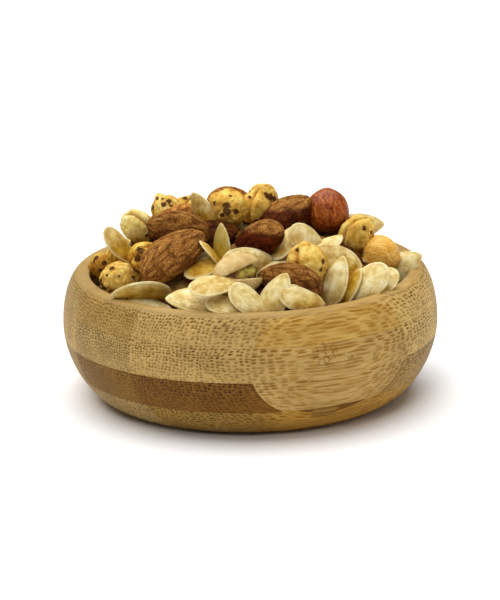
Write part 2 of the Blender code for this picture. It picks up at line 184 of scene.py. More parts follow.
class Wiring:
    """Adds nodes to the node tree of one material or node group, and links or sets their inputs."""

    def __init__(self, tree):
        self.tree = tree

    def node(self, kind, inputs=None, **settings):
        made = self.tree.nodes.new("ShaderNode" + kind)
        for name, value in settings.items():
            setattr(made, name, value)
        for key, value in (inputs or {}).items():
            self.feed(made.inputs[key], value)
        return made

    def feed(self, socket, value):
        if isinstance(value, bpy.types.NodeSocket):
            self.tree.links.new(value, socket)
        else:
            socket.default_value = value

    def math(self, operation, first, second=0.0, clamp=False):
        return self.node("Math", {0: first, 1: second}, operation=operation, use_clamp=clamp).outputs[0]

    def times(self, first, second):
        return self.math("MULTIPLY", first, second)

    def plus(self, first, second, clamp=False):
        return self.math("ADD", first, second, clamp)

    def minus(self, first, second):
        return self.math("SUBTRACT", first, second)

    def swing(self, value, gain):
        """How far a value lies above a half, so many times."""
        return self.times(self.minus(value, 0.5), gain)

    def larger(self, first, second):
        return self.math("MAXIMUM", first, second)

    def fade(self, value, start, end, low=0.0, high=1.0):
        """Goes smoothly from low to high while value goes from start to end."""
        inputs = {"Value": value, "From Min": start, "From Max": end, "To Min": low, "To Max": high}
        return self.node("MapRange", inputs, interpolation_type="SMOOTHSTEP").outputs["Result"]

    def mix(self, share, first, second, blend="MIX"):
        made = self.node("Mix", {}, data_type="RGBA", blend_type=blend)
        for key, value in {0: share, 6: first, 7: second}.items():
            self.feed(made.inputs[key], value)
        return made.outputs[2]

    def stretched(self, place, scale, turn=(0, 0, 0)):
        return self.node("Mapping", {"Vector": place, "Rotation": turn, "Scale": scale}).outputs[0]

    def noise(self, place, scale, detail=2.0, rough=0.5, distortion=0.0, colour=False):
        inputs = {"Vector": place, "Scale": scale, "Detail": detail, "Roughness": rough}
        made = self.node("TexNoise", {**inputs, "Distortion": distortion})
        return made.outputs["Color" if colour else "Fac"]

    def ramp(self, value, stops, interpolation="LINEAR"):
        """Goes through the colours of the stops, each at its value."""
        made = self.node("ValToRGB", {"Fac": value})
        made.color_ramp.interpolation = interpolation
        elements = made.color_ramp.elements
        while len(elements) < len(stops):
            elements.new(0.5)
        for element, (position, colour) in zip(elements, stops.items()):
            element.position = position
            element.color = colour
        return made.outputs["Color"]

    def tones(self, value, stops):
        return self.ramp(value, {position: paint(*tone) for position, tone in stops.items()})

    def shaded(self, share, colour, value, stops):
        """The colour times the one that the stops give for the value."""
        tint = self.ramp(value, {position: (*tint, 1) for position, tint in stops.items()})
        return self.mix(share, colour, tint, "MULTIPLY")

    def bump(self, height, depth, strength=1.0):
        """Normal of a relief that is depth millimetres high."""
        inputs = {"Height": height, "Distance": depth * MM, "Strength": strength}
        return self.node("Bump", inputs).outputs["Normal"]


def new_material(name):
    made = bpy.data.materials.new(name)
    made.use_nodes = True
    return made, Wiring(made.node_tree)


def coat(piece, material, colour, roughness, normal, specular):
    """Gives a piece its material. All but the specular level change over its surface."""
    wiring = Wiring(material.node_tree)
    shader = material.node_tree.nodes["Principled BSDF"]
    wiring.feed(shader.inputs["Base Color"], colour)
    wiring.feed(shader.inputs["Roughness"], roughness)
    wiring.feed(shader.inputs["Normal"], normal)
    shader.inputs["Specular IOR Level"].default_value = specular
    piece.data.materials.append(material)


# Strips, in millimetres: their fibres' direction, how thick a layer is and how wide a strip, and where both
# start. Each layer has five strips, of which number 4 is the foremost.
FIBRE_TURN = math.radians(26.5)
LAYER_THICKNESS = 10.75
LAYER_START = -0.95
STRIP_WIDTH = 28.5
STRIP_START = -60.5
STRIPS = 5
FOREMOST = 4.0

# Where along the strips their left and right ends meet, in the lowest layer and above it. How far apart the
# fibre bundles lie in fine and in coarse bamboo, and how far they drift.
LOWEST_ENDS_MEET = (-26.0, -8.0)
ENDS_MEET = (-4.0, 4.0)
BUNDLE_SPACING = (0.92, 1.08)
BUNDLE_DRIFT = 2.6

# The tones of bamboo, from fresh to steamed brown, and each layer's strips from back to front, lowest layer
# first, once for the ends of the strips to the left and once for those to the right
TONES = {
    "pale": paint(206, 174, 108),
    "straw": paint(190, 158, 98),
    "gold": paint(196, 160, 88),
    "khaki": paint(174, 146, 90),
    "amber": paint(192, 150, 70),
    "ochre": paint(160, 126, 62),
    "caramel": paint(168, 136, 76),
    "brown": paint(134, 98, 36),
    "dark": paint(124, 84, 28),
}
LAYERS = [
    ("khaki straw khaki ochre dark", "straw brown caramel amber dark"),
    ("straw caramel brown dark straw", "caramel straw brown caramel straw"),
    ("khaki straw khaki straw straw", "straw khaki straw pale straw"),
    ("straw khaki caramel straw gold", "khaki straw caramel pale gold"),
]

bamboo, wiring = new_material("bamboo_strips")
object_place = wiring.node("TexCoord").outputs["Object"]
in_block = wiring.stretched(object_place, (1000, 1000, 1000), (0, 0, -FIBRE_TURN))
axes = wiring.node("SeparateXYZ", {0: in_block}).outputs
along, across, height = axes[0], wiring.times(axes[1], -1.0), axes[2]

layer_place = wiring.math("DIVIDE", wiring.minus(height, LAYER_START), LAYER_THICKNESS)
in_layer = wiring.math("FRACT", layer_place)
strip_place = wiring.math("DIVIDE", wiring.minus(across, STRIP_START), STRIP_WIDTH)
in_strip = wiring.math("FRACT", strip_place)

right_end = wiring.fade(along, *ENDS_MEET)
colour = None
for level, ends in enumerate(LAYERS):
    strips = []
    for tones in ends:
        stops = {i / STRIPS: TONES[tone] for i, tone in enumerate(tones.split())}
        shifted = wiring.minus(strip_place, 0.04 if level == 0 else 0.0)
        strips.append(wiring.ramp(wiring.math("DIVIDE", shifted, float(STRIPS)), stops, "CONSTANT"))
    layer = wiring.mix(wiring.fade(along, *LOWEST_ENDS_MEET) if level == 0 else right_end, *strips)
    above = wiring.math("GREATER_THAN", layer_place, float(level))
    colour = layer if colour is None else wiring.mix(above, colour, layer)

# The lowest front strip is only cut in a sliver, which is paler in its middle
sliver_gap = wiring.fade(wiring.math("ABSOLUTE", wiring.plus(along, 2.4)), 5.0, 3.4)
in_front_strip = wiring.math("GREATER_THAN", strip_place, FOREMOST)
sliver = wiring.times(wiring.math("LESS_THAN", layer_place, 1.0), in_front_strip)
colour = wiring.mix(wiring.times(sliver, sliver_gap), colour, TONES["ochre"])

# Fibre bundles: dots crowded in the upper part of each layer, finer to the left, where another stem was used.
# Where the wall runs along the fibres the bundles show as golden streaks.
drift = wiring.noise(wiring.stretched(in_block, (0.05, 0.12, 0.12)), 1.0, 2.0, colour=True)
drifts = wiring.node("SeparateColor", {0: drift}).outputs
coarse = wiring.larger(in_front_strip, wiring.math("GREATER_THAN", along, 0.0))
spacing = wiring.plus(wiring.times(coarse, BUNDLE_SPACING[1] - BUNDLE_SPACING[0]), BUNDLE_SPACING[0])
spaced_across = wiring.math("DIVIDE", wiring.plus(across, wiring.times(drifts[0], BUNDLE_DRIFT)), spacing)
spaced_up = wiring.math("DIVIDE", wiring.plus(height, wiring.times(drifts[1], BUNDLE_DRIFT)), spacing)
cell_place = wiring.node("CombineXYZ", {0: spaced_across, 1: spaced_up}).outputs[0]
inputs = {"Vector": cell_place, "Scale": 1.0, "Randomness": 0.5}
cells = wiring.node("TexVoronoi", inputs, voronoi_dimensions="2D").outputs
own = wiring.node("SeparateColor", {0: cells["Color"]}).outputs
crowding = wiring.fade(in_layer, 0.0, 0.5, 0.8, 1.0)
present = wiring.math("LESS_THAN", own[0], crowding)
dot = wiring.times(wiring.fade(cells["Distance"], 0.41, 0.27), present)
weight = wiring.times(wiring.fade(in_layer, 0.1, 0.9, 0.62, 1.0), wiring.fade(own[1], 0.0, 1.0, 0.6, 1.0))
smooth_edge = wiring.plus(height, wiring.times(coarse, -1.2))
on_top = wiring.fade(smooth_edge, 40.6, 39.7)
dot = wiring.times(wiring.times(dot, weight), on_top)
lengthwise = wiring.fade(wiring.math("ABSOLUTE", along), 34.0, 14.0)

# Fine wavy fibres between the dots, broad clouds of colour, the glue lines, and the rim, sanded smooth
waves = wiring.noise(wiring.stretched(in_block, (0.06, 0.2, 0.2)), 1.0, 2.0, colour=True)
wavy = wiring.mix(0.06, in_block, waves, "LINEAR_LIGHT")
fibres = wiring.noise(wiring.stretched(wavy, (0.07, 1.7, 1.7)), 1.0, 3.0, 0.65)
threads = wiring.noise(wiring.stretched(wavy, (0.12, 1.1, 1.1)), 1.0, 2.0, 0.5, 0.6)
clouds = wiring.noise(wiring.stretched(in_block, (0.05, 0.16, 0.16)), 1.0, 3.0, 0.55)
edge_of_layer = wiring.times(wiring.math("PINGPONG", in_layer, 0.5), LAYER_THICKNESS)
edge_of_strip = wiring.times(wiring.math("PINGPONG", in_strip, 0.5), STRIP_WIDTH)
layer_line = wiring.fade(edge_of_layer, 0.3, 0.05)
strip_line = wiring.fade(edge_of_strip, 0.3, 0.05, 0.0, 0.5)
line = wiring.larger(layer_line, strip_line)

colour = wiring.shaded(0.42, colour, clouds, {0.34: (0.68, 0.62, 0.5), 0.66: (1.22, 1.2, 1.15)})
colour = wiring.shaded(0.55, colour, fibres, {0.3: (0.72, 0.66, 0.5), 0.7: (1.16, 1.15, 1.12)})
streaks = wiring.times(wiring.fade(threads, 0.5, 0.6), wiring.times(lengthwise, on_top))
colour = wiring.mix(wiring.times(streaks, 0.6), colour, (0.86, 0.7, 0.34, 1), "MULTIPLY")
dot_tint = wiring.mix(lengthwise, (0.24, 0.18, 0.08, 1), (0.6, 0.44, 0.17, 1))
colour = wiring.mix(dot, colour, dot_tint, "MULTIPLY")
colour = wiring.mix(wiring.times(line, 0.16), colour, (0.42, 0.34, 0.22, 1), "MULTIPLY")
rim_band = wiring.fade(height, 39.2, 40.4)
rim_tone = wiring.mix(right_end, paint(158, 130, 78), paint(162, 130, 74))
colour = wiring.mix(wiring.times(rim_band, 0.6), colour, rim_tone)

# Small branching flaws in the front, each by its place and reach
FLAWS = [
    ((22.5, -55.0, 28.0), 5.5), ((38.6, -45.6, 24.5), 2.6), ((47.3, -36.6, 23.0), 2.6),
    ((30.5, -51.0, 25.0), 2.4),
]
in_mm = wiring.stretched(object_place, (1000, 1000, 1000))
crack_place = wiring.mix(1.0, in_mm, wiring.noise(in_mm, 0.45, 3.0, 0.6, colour=True), "LINEAR_LIGHT")
inputs = {"Vector": crack_place, "Scale": 0.62}
crack_cells = wiring.node("TexVoronoi", inputs, feature="DISTANCE_TO_EDGE").outputs["Distance"]
near_flaw = None
for centre, reach in FLAWS:
    apart = wiring.node("VectorMath", {0: in_mm, 1: centre}, operation="DISTANCE").outputs["Value"]
    near = wiring.fade(apart, reach, reach * 0.45)
    near_flaw = near if near_flaw is None else wiring.larger(near_flaw, near)
broken = wiring.fade(wiring.noise(in_mm, 0.5, 2.0), 0.4, 0.5)
flaw = wiring.times(wiring.times(wiring.fade(crack_cells, 0.15, 0.05), near_flaw), broken)
colour = wiring.mix(wiring.times(flaw, 0.65), colour, paint(112, 76, 26))
relief = wiring.minus(wiring.times(fibres, 0.5), wiring.plus(wiring.times(dot, 0.5), line))
coat(bowl, bamboo, colour, wiring.fade(fibres, 0.3, 0.7, 0.46, 0.6), wiring.bump(relief, 0.06, 0.6), 0.1)
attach(bowl, "root")
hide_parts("bowl")

# Bed of the heap
# What lies under the top nuts: crumbs, skins and the nuts below, as one lumpy dome that fills the bowl up to
# its rim and carries all that shows. Its near-black brown is painted shade for the dark gaps between them.

HEAP_EDGE = 41.0
HEAP_RISE = 25.0
HEAP_POWER = 2.4
BACK_DROP = 5.0
BACK_START = 6.0
BACK_SLOPE = 14.0
BED_DEPTH = 13.0
BED_SIDES = 120
SMOOTH_BELOW = 30.5


def dome(radius):
    """Height of the heap's outer surface at a distance from the axis."""
    return HEAP_EDGE + HEAP_RISE * (1 - np.minimum(radius / MOUTH_RADIUS, 1.0) ** HEAP_POWER)


def back_drop(y):
    """How much lower the back of the heap lies than its front."""
    return BACK_DROP * np.clip((y - BACK_START) / BACK_SLOPE, 0, 1)


def ground(x, y):
    """Height of the heap's outer surface at a place."""
    return dome(np.hypot(x, y)) - back_drop(y)


def soft_noise(points, seed):
    """Smooth noise, mostly from -1 to 1, at each row of points."""
    draw = np.random.default_rng(seed)
    table = draw.permutation(256)
    slopes = draw.normal(size=(256, 3))
    slopes /= np.linalg.norm(slopes, axis=1)[:, None]
    cell = np.floor(points).astype(int)
    part = points - cell
    fade = part**3 * (part * (part * 6 - 15) + 10)
    total = np.zeros(len(points))
    for corner in product((0, 1), repeat=3):
        x, y, z = (cell + corner).T
        chosen = slopes[table[(table[(table[x & 255] + y) & 255] + z) & 255]]
        weight = np.prod(np.where(corner, fade, 1 - fade), axis=1)
        total += weight * (chosen * (part - corner)).sum(axis=1)
    return total * 1.6


bed_rings = [(50.6, 31.0), (52.4, 28.0), (53.2, 24.0), (52.0, 17.0), (45.0, 9.0), (36.0, 6.6)]
bed_rings = [(r, float(dome(r)) - BED_DEPTH) for r in np.arange(3.0, 49.5, 1.5)] + bed_rings
bed = turn_on_lathe("heap_bed", (1.5, float(dome(1.5)) - BED_DEPTH), bed_rings, BED_SIDES)
points = np.array([v.co for v in bed.data.vertices]) / MM
lumps = soft_noise(points / 6.5, 3) * 1.6 + soft_noise(points / 2.8, 4) * 0.7
points[:, 2] += np.where(points[:, 2] > SMOOTH_BELOW, lumps - back_drop(points[:, 1]), 0)
bed.data.vertices.foreach_set("co", (points * MM).ravel())
bed.data.update()
bed.data.shade_smooth()

bed_crumbs_and_shade, wiring = new_material("crumbs_in_painted_shade")
crumb_place = wiring.stretched(wiring.node("TexCoord").outputs["Object"], (1000, 1000, 1000))
coarse = wiring.noise(crumb_place, 0.35, 3.0)
fine = wiring.noise(crumb_place, 1.6, 3.0, 0.6)
chips = wiring.node("TexVoronoi", {"Vector": crumb_place, "Scale": 0.55}).outputs
chip_tone = wiring.node("SeparateColor", {0: chips["Color"]}).outputs[0]
level = wiring.plus(wiring.times(coarse, 0.6), wiring.times(fine, 0.4))
# Painted shade: the bed's near-black browns stand for the shade between the nuts; the lighter chips are
# crumbs
colour = wiring.tones(level, {0.34: (18, 8, 2), 0.5: (42, 22, 7), 0.66: (78, 48, 17)})
chip = wiring.times(wiring.math("LESS_THAN", chip_tone, 0.3), wiring.fade(chips["Distance"], 0.75, 0.5))
chip_colour = wiring.tones(fine, {0.4: (84, 46, 14), 0.6: (132, 84, 32)})
colour = wiring.mix(wiring.times(chip, 0.5), colour, chip_colour)
coat(
    bed, bed_crumbs_and_shade, colour, wiring.fade(fine, 0.3, 0.7, 0.8, 0.95),
    wiring.bump(wiring.minus(fine, chips["Distance"]), 0.6), 0.03,
)
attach(bed, "root")
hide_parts("trail_mix")

# Lay of the heap
# Where each nut lies: the ones that show in front, from the lowest to the topmost, those strewn over the back
# and between them, and some that are buried and show only down in the gaps. Pushed apart, they rest on each
# other.

SUNK = 0.5
DEEPEST = 14

# Length, width and thickness of each kind in millimetres, and how its two ends taper (0.5 is round)
Kind = namedtuple("Kind", "length width thick blunt tip")
KINDS = {
    "almond": Kind(24.0, 13.6, 9.0, 0.46, 0.66),
    "chickpea": Kind(11.0, 10.2, 9.8, 0.50, 0.54),
    "hazelnut": Kind(14.6, 12.8, 12.6, 0.46, 0.54),
    "seed": Kind(18.0, 10.2, 3.6, 0.48, 0.70),
    "pistachio": Kind(17.0, 11.4, 10.6, 0.50, 0.62),
}

# Column and row of a nut's middle in the picture, and its length. Then, in degrees, the slant of its long
# axis in that view, how far its tip points away from the viewer, and its roll (0 shows the broad side)
Nut = namedtuple("Nut", "kind column row length slant away roll")
SHOWN = [
    Nut("chickpea", 102, 266, 9.0, 40, 0, 0),
    Nut("chickpea", 121, 257, 9.6, 100, 0, 0),
    Nut("almond", 231, 204, 20.0, 12, 45, 10),
    Nut("chickpea", 185, 209, 8.8, 60, 0, 0),
    Nut("almond", 181, 218, 20.0, 22, 30, 35),
    Nut("seed", 204, 213, 15.5, 118, 10, 40),
    Nut("almond", 211, 236, 18.0, 12, 0, 15),
    Nut("seed", 359, 226, 16.5, 5, 0, 25),
    Nut("seed", 326, 246, 14.0, 30, 30, 50),
    Nut("seed", 284, 243, 14.0, 60, 30, 40),
    Nut("seed", 401, 266, 15.5, 28, -10, 15),
    Nut("chickpea", 262, 200, 10.8, 200, 0, 0),
    Nut("chickpea", 166, 210, 10.4, 120, 0, 0),
    Nut("chickpea", 137, 226, 11.0, -10, 0, 0),
    Nut("almond", 288, 213, 21.2, 36, 35, 35),
    Nut("hazelnut", 327, 211, 15.0, 90, 0, 0),
    Nut("almond", 177, 229, 22.0, 172, 25, 35),
    Nut("seed", 119, 246, 14.5, -52, 10, 42),
    Nut("chickpea", 144, 256, 10.0, 30, 0, 0),
    Nut("seed", 305, 238, 15.0, -18, 42, 10),
    Nut("hazelnut", 380, 255, 13.0, -10, 0, 0),
    Nut("seed", 338, 260, 16.5, 150, -10, -15),
    Nut("seed", 286, 257, 16.0, 25, 20, 25),
    Nut("seed", 276, 270, 15.0, 10, 10, 40),
    Nut("chickpea", 254, 209, 11.2, 60, 0, 0),
    Nut("chickpea", 229, 208, 12.4, 20, 0, 0),
    Nut("chickpea", 357, 234, 12.4, 50, 0, 0),
    Nut("seed", 377, 286, 16.0, 214, 0, -35),
    Nut("seed", 222, 246, 14.5, 93, 0, 50),
    Nut("almond", 258, 240, 20.0, 198, 35, -25),
    Nut("chickpea", 120, 279, 12.4, 15, 0, 0),
    Nut("seed", 212, 254, 11.5, -52, 0, 75),
    Nut("seed", 207, 266, 16.0, 25, 20, 50),
    Nut("seed", 247, 262, 17.0, 8, 20, 10),
    Nut("seed", 150, 306, 14.5, -13, 0, 55),
    Nut("chickpea", 307, 264, 13.6, -22, 0, 0),
    Nut("almond", 174, 256, 24.0, 36, 12, 25),
    Nut("pistachio", 238, 275, 15.5, 14, 10, 0),
    Nut("seed", 349, 289, 15.0, 58, 0, 55),
    Nut("seed", 335, 282, 17.0, 70, 0, 35),
    Nut("seed", 365, 286, 18.6, 220, 0, -25),
    Nut("seed", 215, 285, 17.0, 10, 20, 50),
    Nut("almond", 290, 283, 21.0, 165, 10, 20),
    Nut("seed", 141, 293, 19.2, 182, 0, 52),
    Nut("seed", 275, 297, 16.5, 62, 0, 20),
    Nut("seed", 250, 303, 16.0, -40, 10, 30),
    Nut("seed", 302, 299, 15.0, -15, 10, 20),
    Nut("seed", 199, 300, 21.0, 176, 0, -45),
    Nut("seed", 231, 306, 16.0, -6, 10, 50),
]

# The strewn nuts: the seed of their draws, what they are, how many places each tries, where the back begins
# and how much lower they lie in front of it. Then the same for the buried ones, and where their numbers begin
STREWN_SEED = 11
STREWN = ["almond", "chickpea", "seed", "chickpea", "seed"] * 11 + ["hazelnut"] * 3 + ["pistachio"] * 2
PLACES_TRIED = 60
BACK_LINE = 14.0
FRONT_DEPTH = 11.0
BURIED_SEED = 29
BURIED = ["seed", "chickpea", "almond", "seed", "chickpea"] * 9
BURIED_DEPTH = 8.0
BURIED_FRONT_DEPTH = 12.5
BURIED_FROM = 500

# The heap's outline as columns and rows, and how many rows the strewn nuts stay below it
SKYLINE = [
    (88, 262), (98, 252), (104, 230), (108, 226), (120, 222), (124, 214), (135, 208), (147, 209),
    (155, 196), (163, 193), (178, 199), (194, 193), (207, 202), (215, 193), (222, 187), (240, 185),
    (252, 184), (272, 186), (277, 196), (292, 193), (308, 197), (318, 188), (328, 187), (338, 190),
    (345, 200), (347, 214), (376, 216), (378, 236), (388, 246), (398, 256), (405, 250), (418, 253),
    (421, 262),
]
BELOW = 3.0

# The pushing apart: its rounds, how far a shown nut is pulled back to its place and a strewn one down to the
# ground, when one nut lies over another in the view and how much of its thickness it may then lie deeper,
# and the bowl's wall as rings, each by its radius, height and half thickness
ROUNDS = 60
PULL_BACK = 0.12
PULL_DOWN = 0.2
OVERLAID = 0.8
LAYER_SHARE = 0.2
RIM_GAP = 0.5
WALL = [(57.0, 24.0, 3.0), (56.2, 30.0, 3.1), (54.8, 35.0, 3.1), (53.4, 38.2, 2.5)]


def in_front(x, y):
    return y < BACK_LINE - np.abs(x) / 4


def strewn_ground(x, y):
    """Height of the ground for the strewn nuts, which stay below the ones that show in front."""
    return ground(x, y) - np.where(in_front(x, y), FRONT_DEPTH, 0.0)


def turned(slant, away, roll):
    """Rotation of a nut as it is seen from the front."""
    slant, away, roll = (math.radians(a) for a in (slant, away, roll))
    in_view = Front.right * math.cos(slant) + Front.up * math.sin(slant)
    sideways = Front.up * math.cos(slant) - Front.right * math.sin(slant)
    long_axis = in_view * math.cos(away) + Front.ahead * math.sin(away)
    normal = long_axis.cross(sideways)
    wide = sideways * math.cos(roll) - normal * math.sin(roll)
    face = normal * math.cos(roll) + sideways * math.sin(roll)
    return Matrix((long_axis, wide, face)).transposed()


def lying(place, heading, pitch, lean):
    """Rotation of a nut that lies on the heap's slope at a place."""
    radius = place.xy.length
    slope = math.atan2(float(dome(radius - 1) - dome(radius + 1)), 2)
    upright = Matrix.Rotation(slope, 3, Vector((-place.y, place.x, 0)))
    turn = Matrix.Rotation(heading, 3, "Z") @ Matrix.Rotation(pitch, 3, "Y")
    return upright @ turn @ Matrix.Rotation(lean, 3, "X")


def nut_size(kind, length):
    k = KINDS[kind]
    grow = length / k.length
    return k.length * grow, k.width * grow, k.thick * grow


def lay_front_nuts():
    """Each shown nut goes to where its line of sight meets the heap."""
    laid = []
    for nut in SHOWN:
        size = nut_size(nut.kind, nut.length)
        rotation = turned(nut.slant, nut.away, nut.roll)
        way = Front.sight(nut.column, nut.row)
        nearest = None
        for depth in range(-52, DEEPEST):
            place = Front.eye + way * ((depth - Front.eye.y) / way.y)
            above = place.z - float(ground(place.x, place.y)) + size[2] * SUNK
            if nearest is None or above < nearest[0]:
                nearest = (above, place)
            if above <= 0:
                break
        laid.append((nut.kind, size, rotation, nearest[1]))
    return order_in_depth(laid)


def view_outline(size, rotation):
    """Half width and half height of a nut as it is seen from the front."""
    axes = rotation.transposed()
    wide = math.sqrt(sum((half * axis.dot(Front.right)) ** 2 for half, axis in zip(size, axes))) / 2
    high = math.sqrt(sum((half * axis.dot(Front.up)) ** 2 for half, axis in zip(size, axes))) / 2
    return wide, high


def order_in_depth(laid):
    """Moves a nut back along its line of sight where one that lies over it in the view isn't nearer."""
    outlines = [view_outline(size, rotation) for kind, size, rotation, place in laid]
    for i in reversed(range(len(laid))):
        place = laid[i][3]
        away = (place - Front.eye).normalized()
        for j in range(i + 1, len(laid)):
            apart = laid[j][3] - place
            wide = outlines[i][0] + outlines[j][0]
            high = outlines[i][1] + outlines[j][1]
            over = math.hypot(apart.dot(Front.right) / wide, apart.dot(Front.up) / high) < OVERLAID
            behind = apart.dot(away) - laid[j][1][2] * LAYER_SHARE
            if over and behind > 0:
                place += away * behind
    return laid


def strew(laid, kinds, seed, sizes, margin, height, tilt):
    """Lays nuts of these kinds. Of many places tried, each takes the one farthest from all the other nuts.
    Their sizes have limits, and so has their tilt; margin and height say where a nut of a size may lie."""
    draw = random.Random(seed)
    centres = [nut[3] for nut in laid]
    made = []
    for kind in kinds:
        size = nut_size(kind, KINDS[kind].length * draw.uniform(*sizes))
        found = None
        for _ in range(PLACES_TRIED):
            radius = (MOUTH_RADIUS - margin(size)) * math.sqrt(draw.random())
            angle = draw.uniform(0, math.tau)
            place = Vector((radius * math.cos(angle), radius * math.sin(angle), 0))
            place.z = height(place.x, place.y, size)
            room = min((place - other).length for other in centres)
            if found is None or room > found[0]:
                found = (room, place)
        place = found[1]
        pitch, lean = tilt
        turns = draw.uniform(0, math.tau), draw.uniform(-pitch, pitch), draw.uniform(-lean, lean)
        made.append((kind, size, lying(place, *turns), place))
        centres.append(place)
    return made


def strewn_margin(size):
    return size[1] * 0.8


def strewn_height(x, y, size):
    return float(strewn_ground(x, y)) - size[2] * SUNK


def buried_margin(size):
    return size[0] * 0.45


def buried_height(x, y, size):
    return float(ground(x, y)) - (BURIED_FRONT_DEPTH if in_front(x, y) else BURIED_DEPTH)


def keep_below_outline(laid):
    """Lowers the strewn nuts that would show over the heap's outline, as it is seen from the front."""
    columns, rows = zip(*SKYLINE)
    kept = []
    for index, (kind, size, rotation, place) in enumerate(laid):
        wide, high = view_outline(size, rotation)
        over = 0.0
        for along in (-0.8, -0.4, 0.0, 0.4, 0.8):
            top = Front.right * (wide * along) + Front.up * (high * math.sqrt(1 - along * along))
            column, row = Front.seen(place + top)
            over = max(over, float(np.interp(column, columns, rows)) + BELOW - row)
        drop = over * (place - Front.eye).dot(Front.ahead) / Front.focal / Front.up.z
        kept.append((kind, size, rotation, place - Vector((0, 0, 0 if index < len(SHOWN) else drop))))
    return kept


def stand_in_balls(size):
    """Balls that fill a nut, by offset from its middle and radius, for finding where nuts cross."""
    if size[2] > size[0] * 0.8:
        return [(Vector((0, 0, 0)), sum(size) / 6)]
    balls = []
    for u in (-0.8, -0.4, 0.0, 0.4, 0.8):
        for v in (-0.6, 0.0, 0.6):
            left = 1 - u * u - v * v
            if left > 0:
                balls.append((Vector((u * size[0] / 2, v * size[1] / 2, 0)), size[2] / 2 * math.sqrt(left)))
    return balls


def settle(laid):
    """Pushes nuts apart where they cross, and clear of the bowl. Those that show stay put in the view."""
    balls = [
        (index, rotation @ offset, radius)
        for index, (kind, size, rotation, place) in enumerate(laid)
        for offset, radius in stand_in_balls(size)
    ]
    owner = np.array([ball[0] for ball in balls])
    offset = np.array([ball[1] for ball in balls])
    radius = np.array([ball[2] for ball in balls])
    start = np.array([nut[3] for nut in laid])
    centre = start.copy()
    sunk = np.array([nut[1][2] * SUNK for nut in laid])
    shown = np.arange(len(laid)) < len(SHOWN)
    sight = np.array([(nut[3] - Front.eye).normalized() for nut in laid])
    both_shown = shown[owner][:, None] & shown[owner][None]
    later = np.sign(owner[:, None] - owner[None])
    touch = radius[:, None] + radius[None]
    touch[owner[:, None] == owner[None]] = 0.0
    for _ in range(ROUNDS):
        ball = centre[owner] + offset
        apart = ball[:, None] - ball[None]
        distance = np.linalg.norm(apart, axis=2) + 1e-6
        overlap = np.maximum(touch - distance, 0.0)
        push = apart * (overlap / distance)[..., None] / 2
        push -= (both_shown * later * overlap)[..., None] * sight[owner][:, None] / 4
        total = push.sum(axis=1)
        count = (overlap > 0).sum(axis=1).astype(float)
        out = np.hypot(ball[:, 0], ball[:, 1]) + 1e-6
        for wall_radius, wall_height, wall_thick in WALL:
            away = np.stack([out - wall_radius, ball[:, 2] - wall_height], axis=1)
            gap = np.linalg.norm(away, axis=1)
            crossing = np.maximum(wall_thick + radius + RIM_GAP - gap, 0.0)
            steer = away / gap[:, None] * crossing[:, None]
            total[:, 0] += steer[:, 0] * ball[:, 0] / out
            total[:, 1] += steer[:, 0] * ball[:, 1] / out
            total[:, 2] += steer[:, 1]
            count += crossing > 0
        moved = np.zeros_like(centre)
        hits = np.zeros(len(laid))
        np.add.at(moved, owner, total)
        np.add.at(hits, owner, count)
        moved /= np.maximum(hits, 1.0)[:, None]
        sliding = (moved * sight).sum(axis=1)[:, None] * sight
        moved = np.where(shown[:, None], sliding, moved)
        centre += moved
        centre -= (centre - start) * np.where(shown, PULL_BACK, 0.0)[:, None]
        lift = strewn_ground(centre[:, 0], centre[:, 1]) - sunk - centre[:, 2]
        centre[:, 2] += np.where(shown, 0.0, lift * PULL_DOWN)
    return [(kind, size, rotation, Vector(centre[i])) for i, (kind, size, rotation, place) in enumerate(laid)]


front = lay_front_nuts()
strewn = strew(front, STREWN, STREWN_SEED, (0.9, 1.08), strewn_margin, strewn_height, (0.4, 0.5))
resting = keep_below_outline(settle(front + strewn))
buried = strew(resting, BURIED, BURIED_SEED, (0.85, 1.0), buried_margin, buried_height, (0.3, 0.3))

# Each nut of the heap, with its own seed and the place where it shows in the picture, or none
Laid = namedtuple("Laid", "kind size rotation place seed seen layer")
heap = []
for i, nut in enumerate(resting):
    shows = i < len(SHOWN)
    seen = (SHOWN[i].column, SHOWN[i].row) if shows else None
    heap.append(Laid(*nut, i, seen, "top" if shows else "strewn"))
heap += [Laid(*nut, BURIED_FROM + i, None, "buried") for i, nut in enumerate(buried)]

# Almonds
# Roasted with their skins on: flat drops with a blunt and a pointed end, and a dry, dusty brown skin that is
# creased lengthwise. Those that lie deeper in the heap show a smoother, redder skin.


def ridge(distance, width):
    """1 where the distance is 0, falling away smoothly over about a width to each side."""
    return np.exp(-((distance / width) ** 2))


def ball(steps, angles):
    """A ball's points as directions, pole to pole along Z, and its faces, which point outwards."""
    turn = np.arange(steps) * math.tau / steps
    circle = np.stack([np.cos(turn), np.sin(turn), np.ones(steps)], 1)
    rings = [circle * (math.sin(a), math.sin(a), math.cos(a)) for a in angles]
    points = np.concatenate([[[0, 0, 1]], *rings, [[0, 0, -1]]])
    last = len(points) - 1
    faces = []
    for i in range(steps):
        j = (i + 1) % steps
        faces.append((0, 1 + i, 1 + j))
        faces.append((last, last - steps + j, last - steps + i))
        for r in range(len(angles) - 1):
            upper, lower = 1 + r * steps, 1 + (r + 1) * steps
            faces.append((upper + i, lower + i, lower + j, upper + j))
    return points, faces


def long_ball(steps, rings):
    """A ball whose poles lie along X, which becomes a nut's long axis."""
    points, faces = ball(steps, [math.pi * (i + 1) / (rings + 1) for i in range(rings)])
    return points[:, [2, 0, 1]], faces


def girth(along, kind):
    """A nut's girth from its blunt end at -1 to its tip at 1, where 1 is its fullest."""
    blunt, tip = KINDS[kind].blunt, KINDS[kind].tip
    fullest = (blunt - tip) / (blunt + tip)
    along = np.clip(along, -1, 1)
    return (1 + along) ** blunt * (1 - along) ** tip / ((1 + fullest) ** blunt * (1 - fullest) ** tip)


